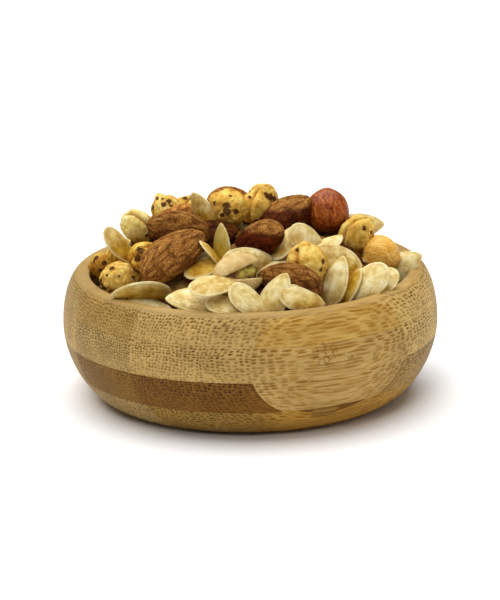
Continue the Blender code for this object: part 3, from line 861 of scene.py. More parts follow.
def tapered(unit, size, kind):
    """The ball drawn out to a nut's size, with each end tapered."""
    share = girth(unit[:, 0], kind) / np.maximum(np.sqrt(np.maximum(1 - unit[:, 0] ** 2, 0)), 1e-4)
    return unit * np.stack([np.full(len(unit), size[0] / 2), share * size[1] / 2, share * size[2] / 2], 1)


# Nuts in front that lie in some shade, and how much painted shade darkens each, by the column and row of
# its middle in the picture, as below
SHADED = {(102, 266): 0.45, (121, 257): 0.45, (359, 226): 0.14, (247, 262): 0.12}


def painted_shade_share(nut):
    """How much painted shade darkens a nut, by how deep in the gaps it lies: 0 on top, 1 for the buried ones.
    """
    if nut.layer == "buried":
        return 1.0
    if nut.seen in SHADED:
        return SHADED[nut.seen]
    return 0.7 if nut.layer == "strewn" and in_front(nut.place.x, nut.place.y) else 0.0


SKIN_SHIFT = np.array([37.0, 11.0, 5.0])
SKIN_SHIFTS = 61


def pour(name, nuts, shape):
    """One mesh of all nuts of a kind. The shape gives a nut's points, faces and marks. Its skin coordinates,
    in millimetres and shifted from nut to nut, and its marks are kept with its points for the material."""
    points, faces, skins, marks = [], [], [], {}
    start = 0
    for nut in nuts:
        local, own_faces, own_marks = shape(nut)
        points.append((local @ np.array(nut.rotation).T + np.array(nut.place)) * MM)
        skins.append(local + SKIN_SHIFT * (nut.seed % SKIN_SHIFTS))
        faces += [tuple(start + corner for corner in face) for face in own_faces]
        # Each nut also gets its share of painted shade, which darkens it down in the gaps
        for mark, values in [*own_marks.items(), ("deep", painted_shade_share(nut))]:
            marks.setdefault(mark, []).append(np.broadcast_to(values, len(local)))
        start += len(local)
    mesh = bpy.data.meshes.new(name)
    mesh.from_pydata(np.concatenate(points).tolist(), [], faces)
    skin = mesh.attributes.new("skin", "FLOAT_VECTOR", "POINT")
    skin.data.foreach_set("vector", np.concatenate(skins).ravel())
    for mark, values in marks.items():
        mesh.attributes.new(mark, "FLOAT", "POINT").data.foreach_set("value", np.concatenate(values))
    mesh.shade_smooth()
    poured = bpy.data.objects.new(name, mesh)
    scene.collection.objects.link(poured)
    print(name, len(nuts), "nuts,", sum(len(face) - 2 for face in faces), "triangles")
    return poured


ALMOND_GRIDS = {"top": (84, 54), "strewn": (60, 40), "buried": (32, 20)}
CREASE_HEIGHT = 0.2
DENT_DEPTH = 0.38
FOLD_DEPTH = 0.36
FOLD_WIDTH = 0.14
SMOOTHER_WHERE_RED = 0.55

# How red and smooth the skin is, from 0 to 1, of the almonds that differ in front
ALMOND_REDNESS = {
    (288, 213): 0.95, (258, 240): 1.0, (211, 236): 0.8, (174, 256): 0.0, (177, 229): 0.15, (181, 218): 0.1,
    (231, 204): 0.3, (290, 283): 0.5,
}
BLUNT_TIPPED = [(174, 256)]

# Painted top light: on the top of a red skin the red gives way to the lighter dusty tone, as if lit from
# above: from what height on the nut, in half widths, and how soon it covers all
PAINTED_TOP_LIGHT_FROM = {(288, 213): 0.2, (258, 240): 0.46, (211, 236): 2.0}
PAINTED_TOP_LIGHT_LINE = 0.12
PAINTED_TOP_LIGHT_FADE = 0.2

# How light the skin is, from 0 to 1. The almond at (211, 236) is given a low value here, a red skin and no
# lighter top in the tables above: that is painted shade, for the shade it lies in.
ALMOND_SHADE = {
    (181, 218): 1.0, (174, 256): 0.5, (177, 229): 0.22, (288, 213): 0.5, (258, 240): 0.45, (231, 204): 0.7,
    (211, 236): 0.1,
}


def almond_shape(nut):
    draw = random.Random(nut.seed)
    unit, faces = long_ball(*ALMOND_GRIDS[nut.layer])
    shaped = tapered(unit, nut.size, "almond")
    around = unit[:, 1:] / np.maximum(np.linalg.norm(unit[:, 1:], axis=1), 1e-6)[:, None]
    full = girth(unit[:, 0], "almond")
    if nut.seen in BLUNT_TIPPED:
        shaped[:, 1:] *= (1 + 0.3 * np.clip(unit[:, 0], 0, 1) ** 2)[:, None]
    redness = ALMOND_REDNESS.get(nut.seen, draw.uniform(0.0, 0.7))
    lengthwise = np.column_stack([unit[:, 0] * 1.3 + nut.seed * 9.7, around * 3.1])
    crease = soft_noise(lengthwise, 21) + 0.5 * soft_noise(lengthwise * (2.2, 1.7, 1.7), 22)
    dents = soft_noise(shaped / 6.0 + nut.seed * 3.3, 23)
    outward = np.column_stack([np.zeros(len(unit)), around]) * full[:, None]
    along_folds = np.column_stack([unit[:, 0] * 2.2 + nut.seed * 4.3, around * 2.6])
    folds = ridge(soft_noise(along_folds, 24), FOLD_WIDTH)
    height = crease * CREASE_HEIGHT + dents * DENT_DEPTH - folds * FOLD_DEPTH
    shaped = shaped + outward * (height * (1 - SMOOTHER_WHERE_RED * redness))[:, None]
    shaped[:, 1] += (1 - unit[:, 0] ** 2) * nut.size[1] * draw.uniform(-0.05, 0.05)
    shaped[:, 2] += (1 - unit[:, 0] ** 2) * nut.size[2] * draw.uniform(-0.05, 0.05)
    # Painted top light: the red of the skin fades out towards the top of the nut
    uphill = (unit * nut.size) @ np.array(nut.rotation).T[:, 2] / nut.size[1]
    uphill += 0.1 * soft_noise(unit * 2.4 + nut.seed, 25)
    redness = redness * (1 - np.clip((uphill - PAINTED_TOP_LIGHT_FROM.get(nut.seen, PAINTED_TOP_LIGHT_LINE)) / PAINTED_TOP_LIGHT_FADE, 0, 1))
    shade = ALMOND_SHADE.get(nut.seen, draw.random())
    return shaped, faces, {"crease": crease - 1.2 * folds, "redness": redness, "shade": shade, "fold": folds}


almonds = pour("almonds", [nut for nut in heap if nut.kind == "almond"], almond_shape)


def mark(wiring, name):
    """A value that is kept with the mesh's points."""
    return wiring.node("Attribute", {}, attribute_name=name).outputs["Fac"]


def skin_place(wiring):
    """The place on a nut's own skin, in millimetres."""
    return wiring.node("Attribute", {}, attribute_name="skin").outputs["Vector"]


def shared_group(name, inputs, outputs, output_kind="NodeSocketFloat"):
    """A shader node group, the wiring of its nodes, and its named inputs and outputs."""
    tree = bpy.data.node_groups.new(name, "ShaderNodeTree")
    for label, kind in inputs.items():
        tree.interface.new_socket(name=label, in_out="INPUT", socket_type=kind)
    for label in outputs:
        tree.interface.new_socket(name=label, in_out="OUTPUT", socket_type=output_kind)
    given, result = tree.nodes.new("NodeGroupInput").outputs, tree.nodes.new("NodeGroupOutput").inputs
    return tree, Wiring(tree), given, result


# What all the skins share: broad patches and fine grains
inputs = {"Place": "NodeSocketVector", "Patch Scale": "NodeSocketFloat", "Grain Scale": "NodeSocketFloat"}
mottle, wiring, given, result = shared_group("skin_mottle", inputs, ["Patches", "Grains"])
patches = wiring.noise(given["Place"], given["Patch Scale"], 3.0, 0.55)
grains = wiring.noise(given["Place"], given["Grain Scale"], 4.0, 0.68)
wiring.feed(result["Patches"], patches)
wiring.feed(result["Grains"], grains)


def mottled(wiring, place, patch_scale, grain_scale):
    """The patches and grains of a skin, with so many of each to the millimetre."""
    inputs = {"Place": place, "Patch Scale": patch_scale, "Grain Scale": grain_scale}
    skin = wiring.node("Group", inputs, node_tree=mottle).outputs
    return skin["Patches"], skin["Grains"]


# Painted shade: down in the gaps the nuts' colours are darkened, standing for the shade that falls there
gap_inputs = {"Colour": "NodeSocketColor", "Painted Shade": "NodeSocketFloat"}
painted_gap_shade, wiring, given, result = shared_group("painted_gap_shade", gap_inputs, ["Colour"], "NodeSocketColor")
painted_shade_tint = wiring.mix(1.0, given["Colour"], (0.32, 0.22, 0.13, 1), "MULTIPLY")
wiring.feed(result["Colour"], wiring.mix(given["Painted Shade"], given["Colour"], painted_shade_tint))


def with_painted_gap_shade(wiring, colour):
    """The colour of a skin, with painted shade on the nuts that lie deep."""
    inputs = {"Colour": colour, "Painted Shade": mark(wiring, "deep")}
    return wiring.node("Group", inputs, node_tree=painted_gap_shade).outputs["Colour"]


almond_skin, wiring = new_material("almond_skin")
on_skin = skin_place(wiring)
patches, grains = mottled(wiring, on_skin, 0.28, 1.9)
crease, redness, shade = mark(wiring, "crease"), mark(wiring, "redness"), mark(wiring, "shade")
strands = wiring.noise(wiring.stretched(on_skin, (0.25, 1.3, 1.3)), 1.0, 4.0, 0.62, 0.4)
pits = wiring.fade(wiring.node("TexVoronoi", {"Vector": on_skin, "Scale": 1.5}).outputs["Distance"], 0.0, 0.6)
level = wiring.plus(wiring.times(strands, 0.22), wiring.times(grains, 0.78))
level = wiring.minus(wiring.times(level, 1.5), 0.25)
# The creases shift the tone, darker in the folds: partly the skin's own creases and partly painted shade
level = wiring.plus(level, wiring.times(crease, 0.07))
level = wiring.plus(level, wiring.swing(patches, 0.3))
browns = {0.24: (88, 46, 16), 0.42: (156, 100, 44), 0.58: (194, 134, 62), 0.78: (232, 184, 110)}
dusty = wiring.tones(level, browns)
red = wiring.tones(level, {0.25: (40, 12, 1), 0.5: (84, 28, 3), 0.78: (140, 66, 18)})
colour = wiring.mix(redness, dusty, red)
shades = {0.0: (0.7, 0.66, 0.6), 0.5: (1.0, 1.0, 1.0), 1.0: (1.5, 1.45, 1.35)}
colour = wiring.shaded(0.8, colour, shade, shades)
# Painted shade in the folds: the skin is darker there, partly its own darker creases and partly the shade in
# them
in_folds = wiring.times(mark(wiring, "fold"), wiring.fade(grains, 0.35, 0.6, 0.25, 0.8))
colour = wiring.mix(in_folds, colour, (0.34, 0.26, 0.18, 1), "MULTIPLY")
relief = wiring.plus(level, wiring.times(pits, wiring.fade(redness, 0.0, 1.0, -0.35, -0.1)))
coat(
    almonds, almond_skin, with_painted_gap_shade(wiring, colour), wiring.fade(level, 0.35, 0.7, 0.55, 0.8),
    wiring.bump(relief, 0.75), 0.05,
)
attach(almonds, "root")
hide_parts("trail_mix")

# Roasted chickpeas
# Peeled and double roasted: golden, with two lobes, the groove between them and a small beak, and dark brown
# spots where the hot pan scorched them.

CHICKPEA_GRIDS = {"top": (72, 48), "strewn": (44, 28), "buried": (24, 16)}
GROOVE_DEPTH = 0.15
GROOVE_WIDTH = 0.1
LOBE_HEIGHT = 0.06
LOBE_PLACE = 0.38
LOBE_WIDTH = 0.26
WRINKLE_DEPTH = 0.09
BEAK_HEIGHT = 0.15
BEAK_WIDTH = 0.3

# For the chickpeas in front: the direction in the picture that the beak points to, and the angle at which the
# groove runs round it, where 90 faces the viewer; how pale the skin is; and the scorched spots, each by its
# column and row in the picture and its half width there
CHICKPEA_TURN = {
    (229, 208): (150, 200), (254, 209): (75, 75), (357, 234): (48, 50), (307, 264): (-72, 120),
    (137, 226): (-40, 60), (166, 210): (120, 200), (120, 279): (10, 230), (262, 200): (200, 160),
    (144, 256): (30, 60),
}
CHICKPEA_PALENESS = {
    (137, 226): 1.0, (229, 208): 0.25, (254, 209): 0.3, (120, 279): 0.4, (262, 200): 0.45, (307, 264): 0.35,
    (357, 234): 0.3, (166, 210): 0.4, (102, 266): 0.1, (144, 256): 0.15, (121, 257): 0.0, (185, 209): 0.4,
}
SCORCHED = {
    (229, 208): [
        (226, 206, 3.2), (227, 213, 3.2), (236, 212, 2.3), (221, 216, 1.8), (231, 195, 1.5), (214, 203, 2.2),
        (224, 210, 1.5),
    ],
    (254, 209): [(244, 194, 2.0), (249, 197, 1.6), (246, 223, 2.2), (256, 222, 2.6), (262, 219, 1.6)],
    (262, 200): [(265, 196, 2.6), (270, 198, 3.0), (274, 200, 2.4), (247, 190, 1.6)],
    (166, 210): [
        (152, 208, 2.4), (164, 204, 2.2), (163, 198, 1.6), (170, 201, 2.2), (157, 198, 1.6), (172, 206, 1.4),
    ],
    (185, 209): [(185, 198, 2.4)],
    (137, 226): [(147, 236, 1.8)],
    (144, 256): [(138, 258, 2.9), (141, 250, 3.2), (153, 247, 2.8), (130, 262, 1.6)],
    (102, 266): [(96, 257, 2.4), (94, 261, 1.6), (105, 263, 2.2), (101, 271, 1.6)],
    (120, 279): [
        (102, 282, 2.6), (113, 268, 2.2), (120, 276, 1.2), (134, 278, 1.8), (105, 288, 2.2), (108, 275, 1.2),
    ],
    (357, 234): [(364, 229, 2.0), (372, 233, 1.5), (348, 216, 2.6), (344, 220, 2.2), (341, 244, 2.6)],
    (307, 264): [(296, 265, 1.9), (297, 249, 1.6), (324, 262, 2.2), (322, 270, 2.0)],
}

SPOT_GROWTH = 1.25


def spots_towards(nut, seen_spots, grow):
    """Each spot's direction from the nut's middle and its radius as an angle, by its place in the picture."""
    half = nut.size[0] / 2 * PICTURE_SCALE
    spots = []
    for column, row, wide in seen_spots:
        over, up = (column - nut.seen[0]) / half, (nut.seen[1] - row) / half
        near = math.sqrt(max(1 - over * over - up * up, 0.02))
        towards = nut.rotation.transposed() @ (Front.right * over + Front.up * up - Front.ahead * near)
        spots.append((towards.normalized(), wide / half * grow))
    return spots


def scorch_field(directions, spots):
    """1 in the middle of a scorched spot, a half at its edge and 0 at twice its radius, which is an angle."""
    field = np.zeros(len(directions))
    for towards, radius in spots:
        apart = np.arccos(np.clip(directions @ np.array(towards), -1, 1))
        field = np.maximum(field, 1 - apart / (2 * radius))
    return field


def chickpea_shape(nut):
    draw = random.Random(nut.seed)
    unit, faces = long_ball(*CHICKPEA_GRIDS[nut.layer])
    groove_angle = math.radians(draw.uniform(0, 360))
    rotation = Matrix(nut.rotation)
    if nut.seen in CHICKPEA_TURN:
        slant, groove_degrees = CHICKPEA_TURN[nut.seen]
        own_turn = np.array(rotation.transposed() @ turned(slant, 10, 0))
        groove_angle = math.radians(groove_degrees)
    else:
        own_turn = np.eye(3)
    beak_angle = np.arccos(np.clip(unit[:, 0], -1, 1))
    to_groove = unit[:, 1] * math.cos(groove_angle) + unit[:, 2] * math.sin(groove_angle)
    beside = unit[:, 2] * math.cos(groove_angle) - unit[:, 1] * math.sin(groove_angle)
    on_side = 1 / (1 + np.exp(-(to_groove + 0.15 + 0.4 * unit[:, 0]) * 9))
    wavy = beside + 0.06 * soft_noise(unit * 1.7 + nut.seed * 2.1, 31)
    depth = draw.uniform(0.06, 0.12) if nut.seen is None else GROOVE_DEPTH
    groove = ridge(wavy, GROOVE_WIDTH) * on_side
    lobes = ridge(np.abs(wavy) - LOBE_PLACE, LOBE_WIDTH) * on_side
    lumps = soft_noise(unit * 1.5 + nut.seed * 5.3, 32) * 0.08
    lumps += soft_noise(unit * 4.2 + nut.seed * 1.7, 33) * 0.016
    folds = ridge(soft_noise(unit * 2.1 + nut.seed * 3.1, 34), 0.15) * np.clip(0.6 - on_side * 0.3, 0, 1)
    reach = 1 + lumps - groove * depth + lobes * LOBE_HEIGHT - folds * WRINKLE_DEPTH
    reach += BEAK_HEIGHT * ridge(beak_angle, BEAK_WIDTH) - 0.05 * ridge(beak_angle - 0.65, 0.25)
    shaped = tapered(unit, nut.size, "chickpea") * reach[:, None]
    shaped = shaped @ own_turn.T
    directions = unit @ own_turn.T
    spots = spots_towards(nut, SCORCHED.get(nut.seen, []), SPOT_GROWTH)
    for _ in range(draw.randint(3, 9) if nut.seen is None else 3):
        towards = Vector([draw.gauss(0, 1) for _ in range(3)]).normalized()
        if nut.seen is None or (rotation @ towards).dot(Front.ahead) > 0.2:
            spots.append((towards, draw.uniform(0.08, 0.26)))
    paleness = CHICKPEA_PALENESS.get(nut.seen, draw.uniform(0.0, 0.8))
    grooved = np.maximum(groove, folds * 0.85)
    return shaped, faces, {"groove": grooved, "scorch": scorch_field(directions, spots), "paleness": paleness}


chickpeas = pour("roasted_chickpeas", [nut for nut in heap if nut.kind == "chickpea"], chickpea_shape)

chickpea_skin, wiring = new_material("roasted_chickpea")
on_skin = skin_place(wiring)
groove, scorch, paleness = mark(wiring, "groove"), mark(wiring, "scorch"), mark(wiring, "paleness")
patches, grains = mottled(wiring, on_skin, 0.32, 2.4)
veins = wiring.noise(on_skin, 0.9, 4.0, 0.6, 1.2)
golden = wiring.tones(patches, {0.34: (190, 122, 12), 0.5: (230, 174, 42), 0.66: (250, 214, 88)})
pale = wiring.tones(patches, {0.32: (222, 190, 88), 0.5: (244, 224, 136), 0.68: (252, 242, 178)})
colour = wiring.mix(paleness, golden, pale)
colour = wiring.shaded(0.55, colour, veins, {0.36: (0.66, 0.5, 0.26), 0.52: (1.05, 1.03, 1.0)})
colour = wiring.shaded(0.35, colour, grains, {0.35: (0.75, 0.7, 0.6), 0.65: (1.1, 1.1, 1.1)})
# The groove and wrinkle folds are a deeper orange: partly the groove's own colour and partly painted shade in
# the creases
colour = wiring.mix(wiring.times(groove, 0.78), colour, paint(164, 96, 14))
ragged = wiring.plus(scorch, wiring.swing(wiring.noise(on_skin, 1.3, 3.0, 0.6), 0.9))
halo = wiring.fade(ragged, 0.22, 0.6)
burnt = wiring.fade(ragged, 0.47, 0.58)
colour = wiring.mix(wiring.times(halo, 0.65), colour, paint(158, 98, 24))
char = wiring.tones(grains, {0.35: (44, 20, 6), 0.6: (96, 54, 16)})
colour = wiring.mix(wiring.times(burnt, 0.92), colour, char)
relief = wiring.plus(wiring.times(grains, 0.5), wiring.times(veins, 0.8))
relief = wiring.minus(relief, wiring.times(burnt, 0.8))
coat(
    chickpeas, chickpea_skin, with_painted_gap_shade(wiring, colour), wiring.fade(patches, 0.3, 0.7, 0.5, 0.68),
    wiring.bump(relief, 0.4), 0.12,
)
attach(chickpeas, "root")
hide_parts("trail_mix")

# Hazelnuts
# Round kernels with a slight point and faint ribs. Most keep their thin red-brown skin, which is flecked
# lighter and shines a little. One is blanched and roasted to an even gold.

BLANCHED = [(380, 255)]
SCARS = {(327, 211): [(331, 209, 1.8), (333, 213, 1.2), (324, 197, 1.2), (316, 208, 0.9)]}


def hazelnut_shape(nut):
    draw = random.Random(nut.seed)
    unit, faces = long_ball(72, 48) if nut.layer == "top" else long_ball(48, 32)
    angle = np.arctan2(unit[:, 2], unit[:, 1])
    ribs = np.cos(angle * 9 + draw.uniform(0, 6)) * 0.006 * (1 - unit[:, 0] ** 2)
    lumps = soft_noise(unit * 1.3 + nut.seed * 4.1, 41) * 0.035
    lumps += soft_noise(unit * 5.0 + nut.seed * 1.3, 42) * 0.006
    point = 0.02 * ridge(np.arccos(np.clip(unit[:, 0], -1, 1)), 0.3)
    base = np.clip((-unit[:, 0] - 0.8) / 0.2, 0, 1)
    scars = scorch_field(unit, spots_towards(nut, SCARS.get(nut.seen, []), 1.0))
    plump = np.array([0.98, 1.1, 1.1])
    shaped = tapered(unit, nut.size, "hazelnut") * plump * (1 + ribs + lumps + point - base * 0.07)[:, None]
    blanched = 1.0 if nut.seen in BLANCHED else 0.0
    # Painted shade: how far a point faces down, where the skin is darkened as if in shade
    painted_underside_shade = np.clip(-0.1 - (unit @ np.array(nut.rotation).T)[:, 2], 0, 1)
    return shaped, faces, {"base": base, "blanched": blanched, "scar": scars, "painted_underside_shade": painted_underside_shade}


hazelnuts = pour("hazelnuts", [nut for nut in heap if nut.kind == "hazelnut"], hazelnut_shape)

hazelnut_skin, wiring = new_material("hazelnut_skin")
on_skin = skin_place(wiring)
streaks = wiring.noise(wiring.stretched(on_skin, (0.3, 0.9, 0.9)), 1.0, 4.0, 0.6, 0.5)
patches, flecks = mottled(wiring, on_skin, 0.22, 1.5)
level = wiring.plus(wiring.times(streaks, 0.5), wiring.times(flecks, 0.5))
reds = {0.36: (84, 30, 6), 0.46: (146, 68, 20), 0.56: (186, 102, 38), 0.66: (226, 156, 82)}
skinned = wiring.tones(level, reds)
skinned = wiring.shaded(0.6, skinned, patches, {0.36: (0.6, 0.48, 0.4), 0.6: (1.15, 1.12, 1.05)})
bare = wiring.tones(level, {0.36: (196, 128, 38), 0.5: (232, 174, 70), 0.64: (248, 210, 118)})
# Painted shade on the underside of each nut
skinned = wiring.mix(mark(wiring, "painted_underside_shade"), skinned, paint(84, 28, 6))
colour = wiring.mix(mark(wiring, "blanched"), skinned, bare)
colour = wiring.mix(wiring.times(mark(wiring, "base"), 0.6), colour, paint(190, 146, 96))
worn = wiring.plus(mark(wiring, "scar"), wiring.swing(flecks, 1.2))
colour = wiring.mix(wiring.fade(worn, 0.46, 0.62), colour, paint(52, 18, 8))
coat(
    hazelnuts, hazelnut_skin, with_painted_gap_shade(wiring, colour), wiring.fade(flecks, 0.35, 0.65, 0.3, 0.45),
    wiring.bump(level, 0.25), 0.2,
)
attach(hazelnuts, "root")
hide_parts("trail_mix")

# Pumpkin seeds
# Roasted and salted in their shells: flat cream drops with a raised rim all round and a shallow gutter inside
# it, flecked and toasted golden in places. Each is also golden towards its lower end, which is painted shade.

SEED_GRIDS = {"top": (72, 1), "strewn": (48, 1), "buried": (32, 2)}
RIM_PLACE = 0.945
RIM_WIDTH = 0.032
GUTTER_PLACE = 0.87
GUTTER_WIDTH = 0.05
FACE_RINGS = [0.15, 0.3, 0.45, 0.58, 0.69, 0.77, 0.83, 0.875, 0.91, 0.94, 0.965, 0.985]

# How toasted the face is of the seeds that differ in front, from 0 to 1 and a little past that for the palest
# and the most even ones, and how green
TOASTED = {
    (204, 213): 0.9, (119, 246): 1.0, (222, 246): 0.85, (338, 260): 0.7, (335, 282): -0.1, (349, 289): 1.4,
    (141, 293): 0.95, (359, 226): 0.35, (305, 238): -0.1, (401, 266): -0.5, (365, 286): 0.1, (377, 286): 0.45,
    (247, 262): 0.5, (286, 257): 0.4, (150, 306): -0.2, (212, 254): 1.1, (207, 266): 1.0,
}
GREENISH = {(222, 246): 1.0, (141, 293): 0.3, (204, 213): 0.1}


def seed_shape(nut):
    draw = random.Random(nut.seed)
    steps, skip = SEED_GRIDS[nut.layer]
    reaches = FACE_RINGS[::skip]
    upper = [math.asin(r) for r in reaches]
    unit, faces = ball(steps, upper + [math.pi / 2] + [math.pi - angle for angle in reversed(upper)])
    reach = np.minimum(np.hypot(unit[:, 0], unit[:, 1]), 1.0)
    shaped = tapered(unit, nut.size, "seed")
    rim = ridge(reach - RIM_PLACE, RIM_WIDTH)
    gutter = ridge(reach - GUTTER_PLACE, GUTTER_WIDTH)
    swell = draw.uniform(0.7, 1.0)
    half = swell * np.maximum(1 - reach**2.6, 0) ** 0.85 + 0.17 * rim
    half *= np.sqrt(np.maximum(1 - reach**14, 0))
    bumps = soft_noise(unit * (3.2, 2.4, 2.4) + nut.seed * 3.7, 51) * 0.09 * (1 - reach**4)
    shaped[:, 2] = np.sign(unit[:, 2]) * (half + bumps) * nut.size[2] / 2
    edge_place = np.column_stack([unit[:, :2] * 2.5, np.full(len(unit), nut.seed * 1.9)])
    shaped[:, :2] *= (1 + 0.012 * soft_noise(edge_place, 52))[:, None]
    along = shaped[:, 0] / nut.size[0]
    bend, twist = draw.uniform(-1.6, 1.6), draw.uniform(-0.8, 0.8)
    shaped[:, 2] += bend * along**2 + twist * along * shaped[:, 1] / nut.size[1]
    toast_and_painted_shade = TOASTED.get(nut.seen, draw.uniform(0.0, 0.7))
    green = GREENISH.get(nut.seen, 0.0)
    # Painted shade: each seed turns more golden towards its lower end, as if in shade
    downhill = -(shaped @ np.array(nut.rotation).T[:, 2]) / nut.size[0] * 2
    toast_and_painted_shade = (toast_and_painted_shade + 0.9 * np.clip(downhill, -0.3, 1)) * np.clip((1.0 - reach) / 0.26, 0.15, 1)
    return shaped, faces, {"rim": rim, "gutter": gutter, "toast_and_painted_shade": toast_and_painted_shade, "green": green}


seeds = pour("pumpkin_seeds", [nut for nut in heap if nut.kind == "seed"], seed_shape)

seed_shell, wiring = new_material("pumpkin_seed_shell")
on_skin = skin_place(wiring)
rim, gutter, toast_and_painted_shade = mark(wiring, "rim"), mark(wiring, "gutter"), mark(wiring, "toast_and_painted_shade")
patches, grains = mottled(wiring, on_skin, 0.3, 3.0)
threads = wiring.noise(wiring.stretched(on_skin, (0.6, 1.5, 1.5)), 1.0, 3.0, 0.6)
cream = wiring.tones(patches, {0.34: (208, 180, 106), 0.5: (232, 212, 146), 0.66: (246, 236, 192)})
golden = wiring.tones(patches, {0.3: (152, 100, 12), 0.5: (192, 146, 34), 0.7: (222, 188, 80)})
# The golden share holds the toasting and the painted shade at each seed's lower end
level = wiring.plus(toast_and_painted_shade, wiring.swing(threads, 1.3), clamp=True)
colour = wiring.mix(level, cream, golden)
colour = wiring.mix(wiring.times(mark(wiring, "green"), 0.6), colour, paint(152, 130, 36))
colour = wiring.mix(wiring.times(gutter, 0.32), colour, paint(176, 126, 42))
pale_rim = wiring.times(rim, wiring.fade(threads, 0.4, 0.6, 0.15, 0.55))
colour = wiring.mix(pale_rim, colour, paint(240, 222, 166))
fleck_cells = wiring.node("TexVoronoi", {"Vector": on_skin, "Scale": 1.1}).outputs
fleck_own = wiring.node("SeparateColor", {0: fleck_cells["Color"]}).outputs[0]
few = wiring.math("LESS_THAN", fleck_own, 0.35)
fleck = wiring.times(wiring.fade(fleck_cells["Distance"], 0.2, 0.1), few)
colour = wiring.mix(wiring.times(fleck, 0.6), colour, paint(128, 88, 28))
relief = wiring.plus(wiring.times(threads, 0.7), wiring.times(grains, 0.3))
coat(
    seeds, seed_shell, with_painted_gap_shade(wiring, colour), wiring.fade(grains, 0.3, 0.7, 0.48, 0.64),
    wiring.bump(relief, 0.3), 0.12,
)
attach(seeds, "root")
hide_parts("trail_mix")

# Pistachios
# Roasted in their shells, which have sprung open: two thin cream half shells joined at the blunt end, and
# between them the kernel, yellow-green with a purple-brown skin.

SHELL_THICKNESS = 0.8
SHELL_OPENING = math.radians(10)
SHELL_RINGS = 26
SHELL_STEPS = 22
KERNEL_SHARE = (0.8, 0.74, 0.8)


def pistachio_shape(nut):
    """Two half shells, each made of rings that go round its outside and back on its inside, and a kernel."""
    points, faces = [], []
    around = [math.pi * j / SHELL_STEPS for j in range(SHELL_STEPS + 1)]
    loop = [(angle, 0.0) for angle in around] + [(angle, SHELL_THICKNESS) for angle in reversed(around)]
    hinge = -nut.size[0] / 2
    cosine, sine = math.cos(SHELL_OPENING), math.sin(SHELL_OPENING)
    for side in (1, -1):
        start = len(points)
        for i in range(SHELL_RINGS + 1):
            along = -math.cos(math.pi * (0.02 + 0.96 * i / SHELL_RINGS))
            full = float(girth(np.array([along]), "pistachio")[0])
            for angle, inset in loop:
                y = max(full * nut.size[1] / 2 - inset, 0.02) * math.sin(angle)
                z = -max(full * nut.size[2] / 2 - inset, 0.02) * math.cos(angle)
                x = along * (nut.size[0] / 2 - inset * 0.8)
                x, y = hinge + (x - hinge) * cosine - y * sine, (x - hinge) * sine + y * cosine
                points.append((x, side * (y + 0.1), z))
        width = len(loop)
        for i in range(SHELL_RINGS):
            for j in range(width):
                a, b = start + i * width + j, start + i * width + (j + 1) % width
                quad = (a, b, b + width, a + width)
                faces.append(quad if side < 0 else quad[::-1])
        for end, forwards in ((0, side > 0), (SHELL_RINGS, side < 0)):
            cap = [start + end * width + j for j in range(width)]
            faces.append(tuple(cap if forwards else cap[::-1]))
    unit, kernel_faces = long_ball(40, 26)
    size = [whole * share for whole, share in zip(nut.size, KERNEL_SHARE)]
    kernel = tapered(unit, size, "pistachio") * (1 + 0.05 * soft_noise(unit * 2.2 + nut.seed, 61))[:, None]
    faces += [tuple(len(points) + corner for corner in face) for face in kernel_faces]
    is_kernel = np.repeat([0.0, 1.0], [len(points), len(kernel)])
    return np.concatenate([np.array(points), kernel]), faces, {"kernel": is_kernel}


pistachios = pour("pistachios", [nut for nut in heap if nut.kind == "pistachio"], pistachio_shape)

pistachio_nut, wiring = new_material("pistachio_shell_and_kernel")
on_skin = skin_place(wiring)
patches, grains = mottled(wiring, on_skin, 0.3, 2.2)
bony = wiring.tones(patches, {0.3: (192, 154, 90), 0.55: (216, 184, 120), 0.7: (230, 206, 148)})
green = wiring.tones(patches, {0.38: (112, 62, 46), 0.5: (150, 118, 50), 0.62: (196, 180, 78)})
colour = wiring.mix(mark(wiring, "kernel"), bony, green)
colour = wiring.shaded(0.4, colour, grains, {0.3: (0.75, 0.72, 0.66), 0.7: (1.1, 1.1, 1.1)})
coat(
    pistachios, pistachio_nut, with_painted_gap_shade(wiring, colour), wiring.fade(grains, 0.3, 0.7, 0.42, 0.6),
    wiring.bump(grains, 0.2), 0.2,
)
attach(pistachios, "root")
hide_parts("trail_mix")

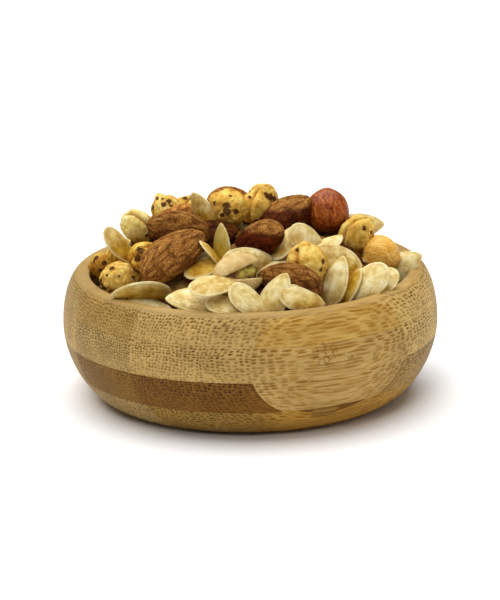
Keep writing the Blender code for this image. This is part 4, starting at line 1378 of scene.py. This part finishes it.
# Floor and light
# A plain white table, and soft studio light: a wide even ceiling light from above and behind, one box in
# front and above, a weaker one at the right, and the pale walls of the room.

FLOOR_RADIUS = 8.0
CEILING_DISTANCE = 1.5
ROOM_BRIGHTNESS = 0.14

bpy.ops.object.select_all(action="DESELECT")
bpy.ops.mesh.primitive_circle_add(vertices=96, radius=FLOOR_RADIUS, fill_type="NGON", location=(0, 0, 0))
floor = bpy.context.object
floor.name = "floor"
table_top, wiring = new_material("pale_table_top")
haze = wiring.noise(wiring.node("TexCoord").outputs["Object"], 2.0, 2.0)
shader = table_top.node_tree.nodes["Principled BSDF"]
whites = wiring.ramp(haze, {0.3: (0.93, 0.93, 0.93, 1), 0.7: (0.95, 0.95, 0.95, 1)})
wiring.feed(shader.inputs["Base Color"], whites)
shader.inputs["Roughness"].default_value = 0.7
floor.data.materials.append(table_top)

# Each light's bearing from the front and height in degrees. The ceiling then has the angle that it spans and
# its watts to the square metre. The boxes have a distance and a width in metres, and a power in watts.
CEILING = (-150, 76, 80, 4.15)
BOXES = {"front_box": (-12, 44, 1.3, 0.35, 2.2), "right_box": (70, 30, 1.3, 0.7, 0.8)}


def light_from(bearing, rise, distance, kind, name, power):
    bearing, rise = math.radians(bearing), math.radians(rise)
    way = Vector((math.sin(bearing) * math.cos(rise), -math.cos(bearing) * math.cos(rise), math.sin(rise)))
    facing = way.to_track_quat("Z", "Y").to_euler()
    bpy.ops.object.light_add(type=kind, location=way * distance, rotation=facing)
    lamp = bpy.context.object
    lamp.name = name
    lamp.data.energy = power
    return lamp.data


bearing, rise, spread, power = CEILING
light_from(bearing, rise, CEILING_DISTANCE, "SUN", "ceiling", power).angle = math.radians(spread)
for name, (bearing, rise, distance, width, power) in BOXES.items():
    light_from(bearing, rise, distance, "AREA", name, power).size = width

world = bpy.data.worlds.new("studio")
world.use_nodes = True
world.node_tree.nodes["Background"].inputs["Color"].default_value = (1.0, 1.0, 1.0, 1.0)
world.node_tree.nodes["Background"].inputs["Strength"].default_value = ROOM_BRIGHTNESS
scene.world = world
scene.view_settings.view_transform = "Standard"
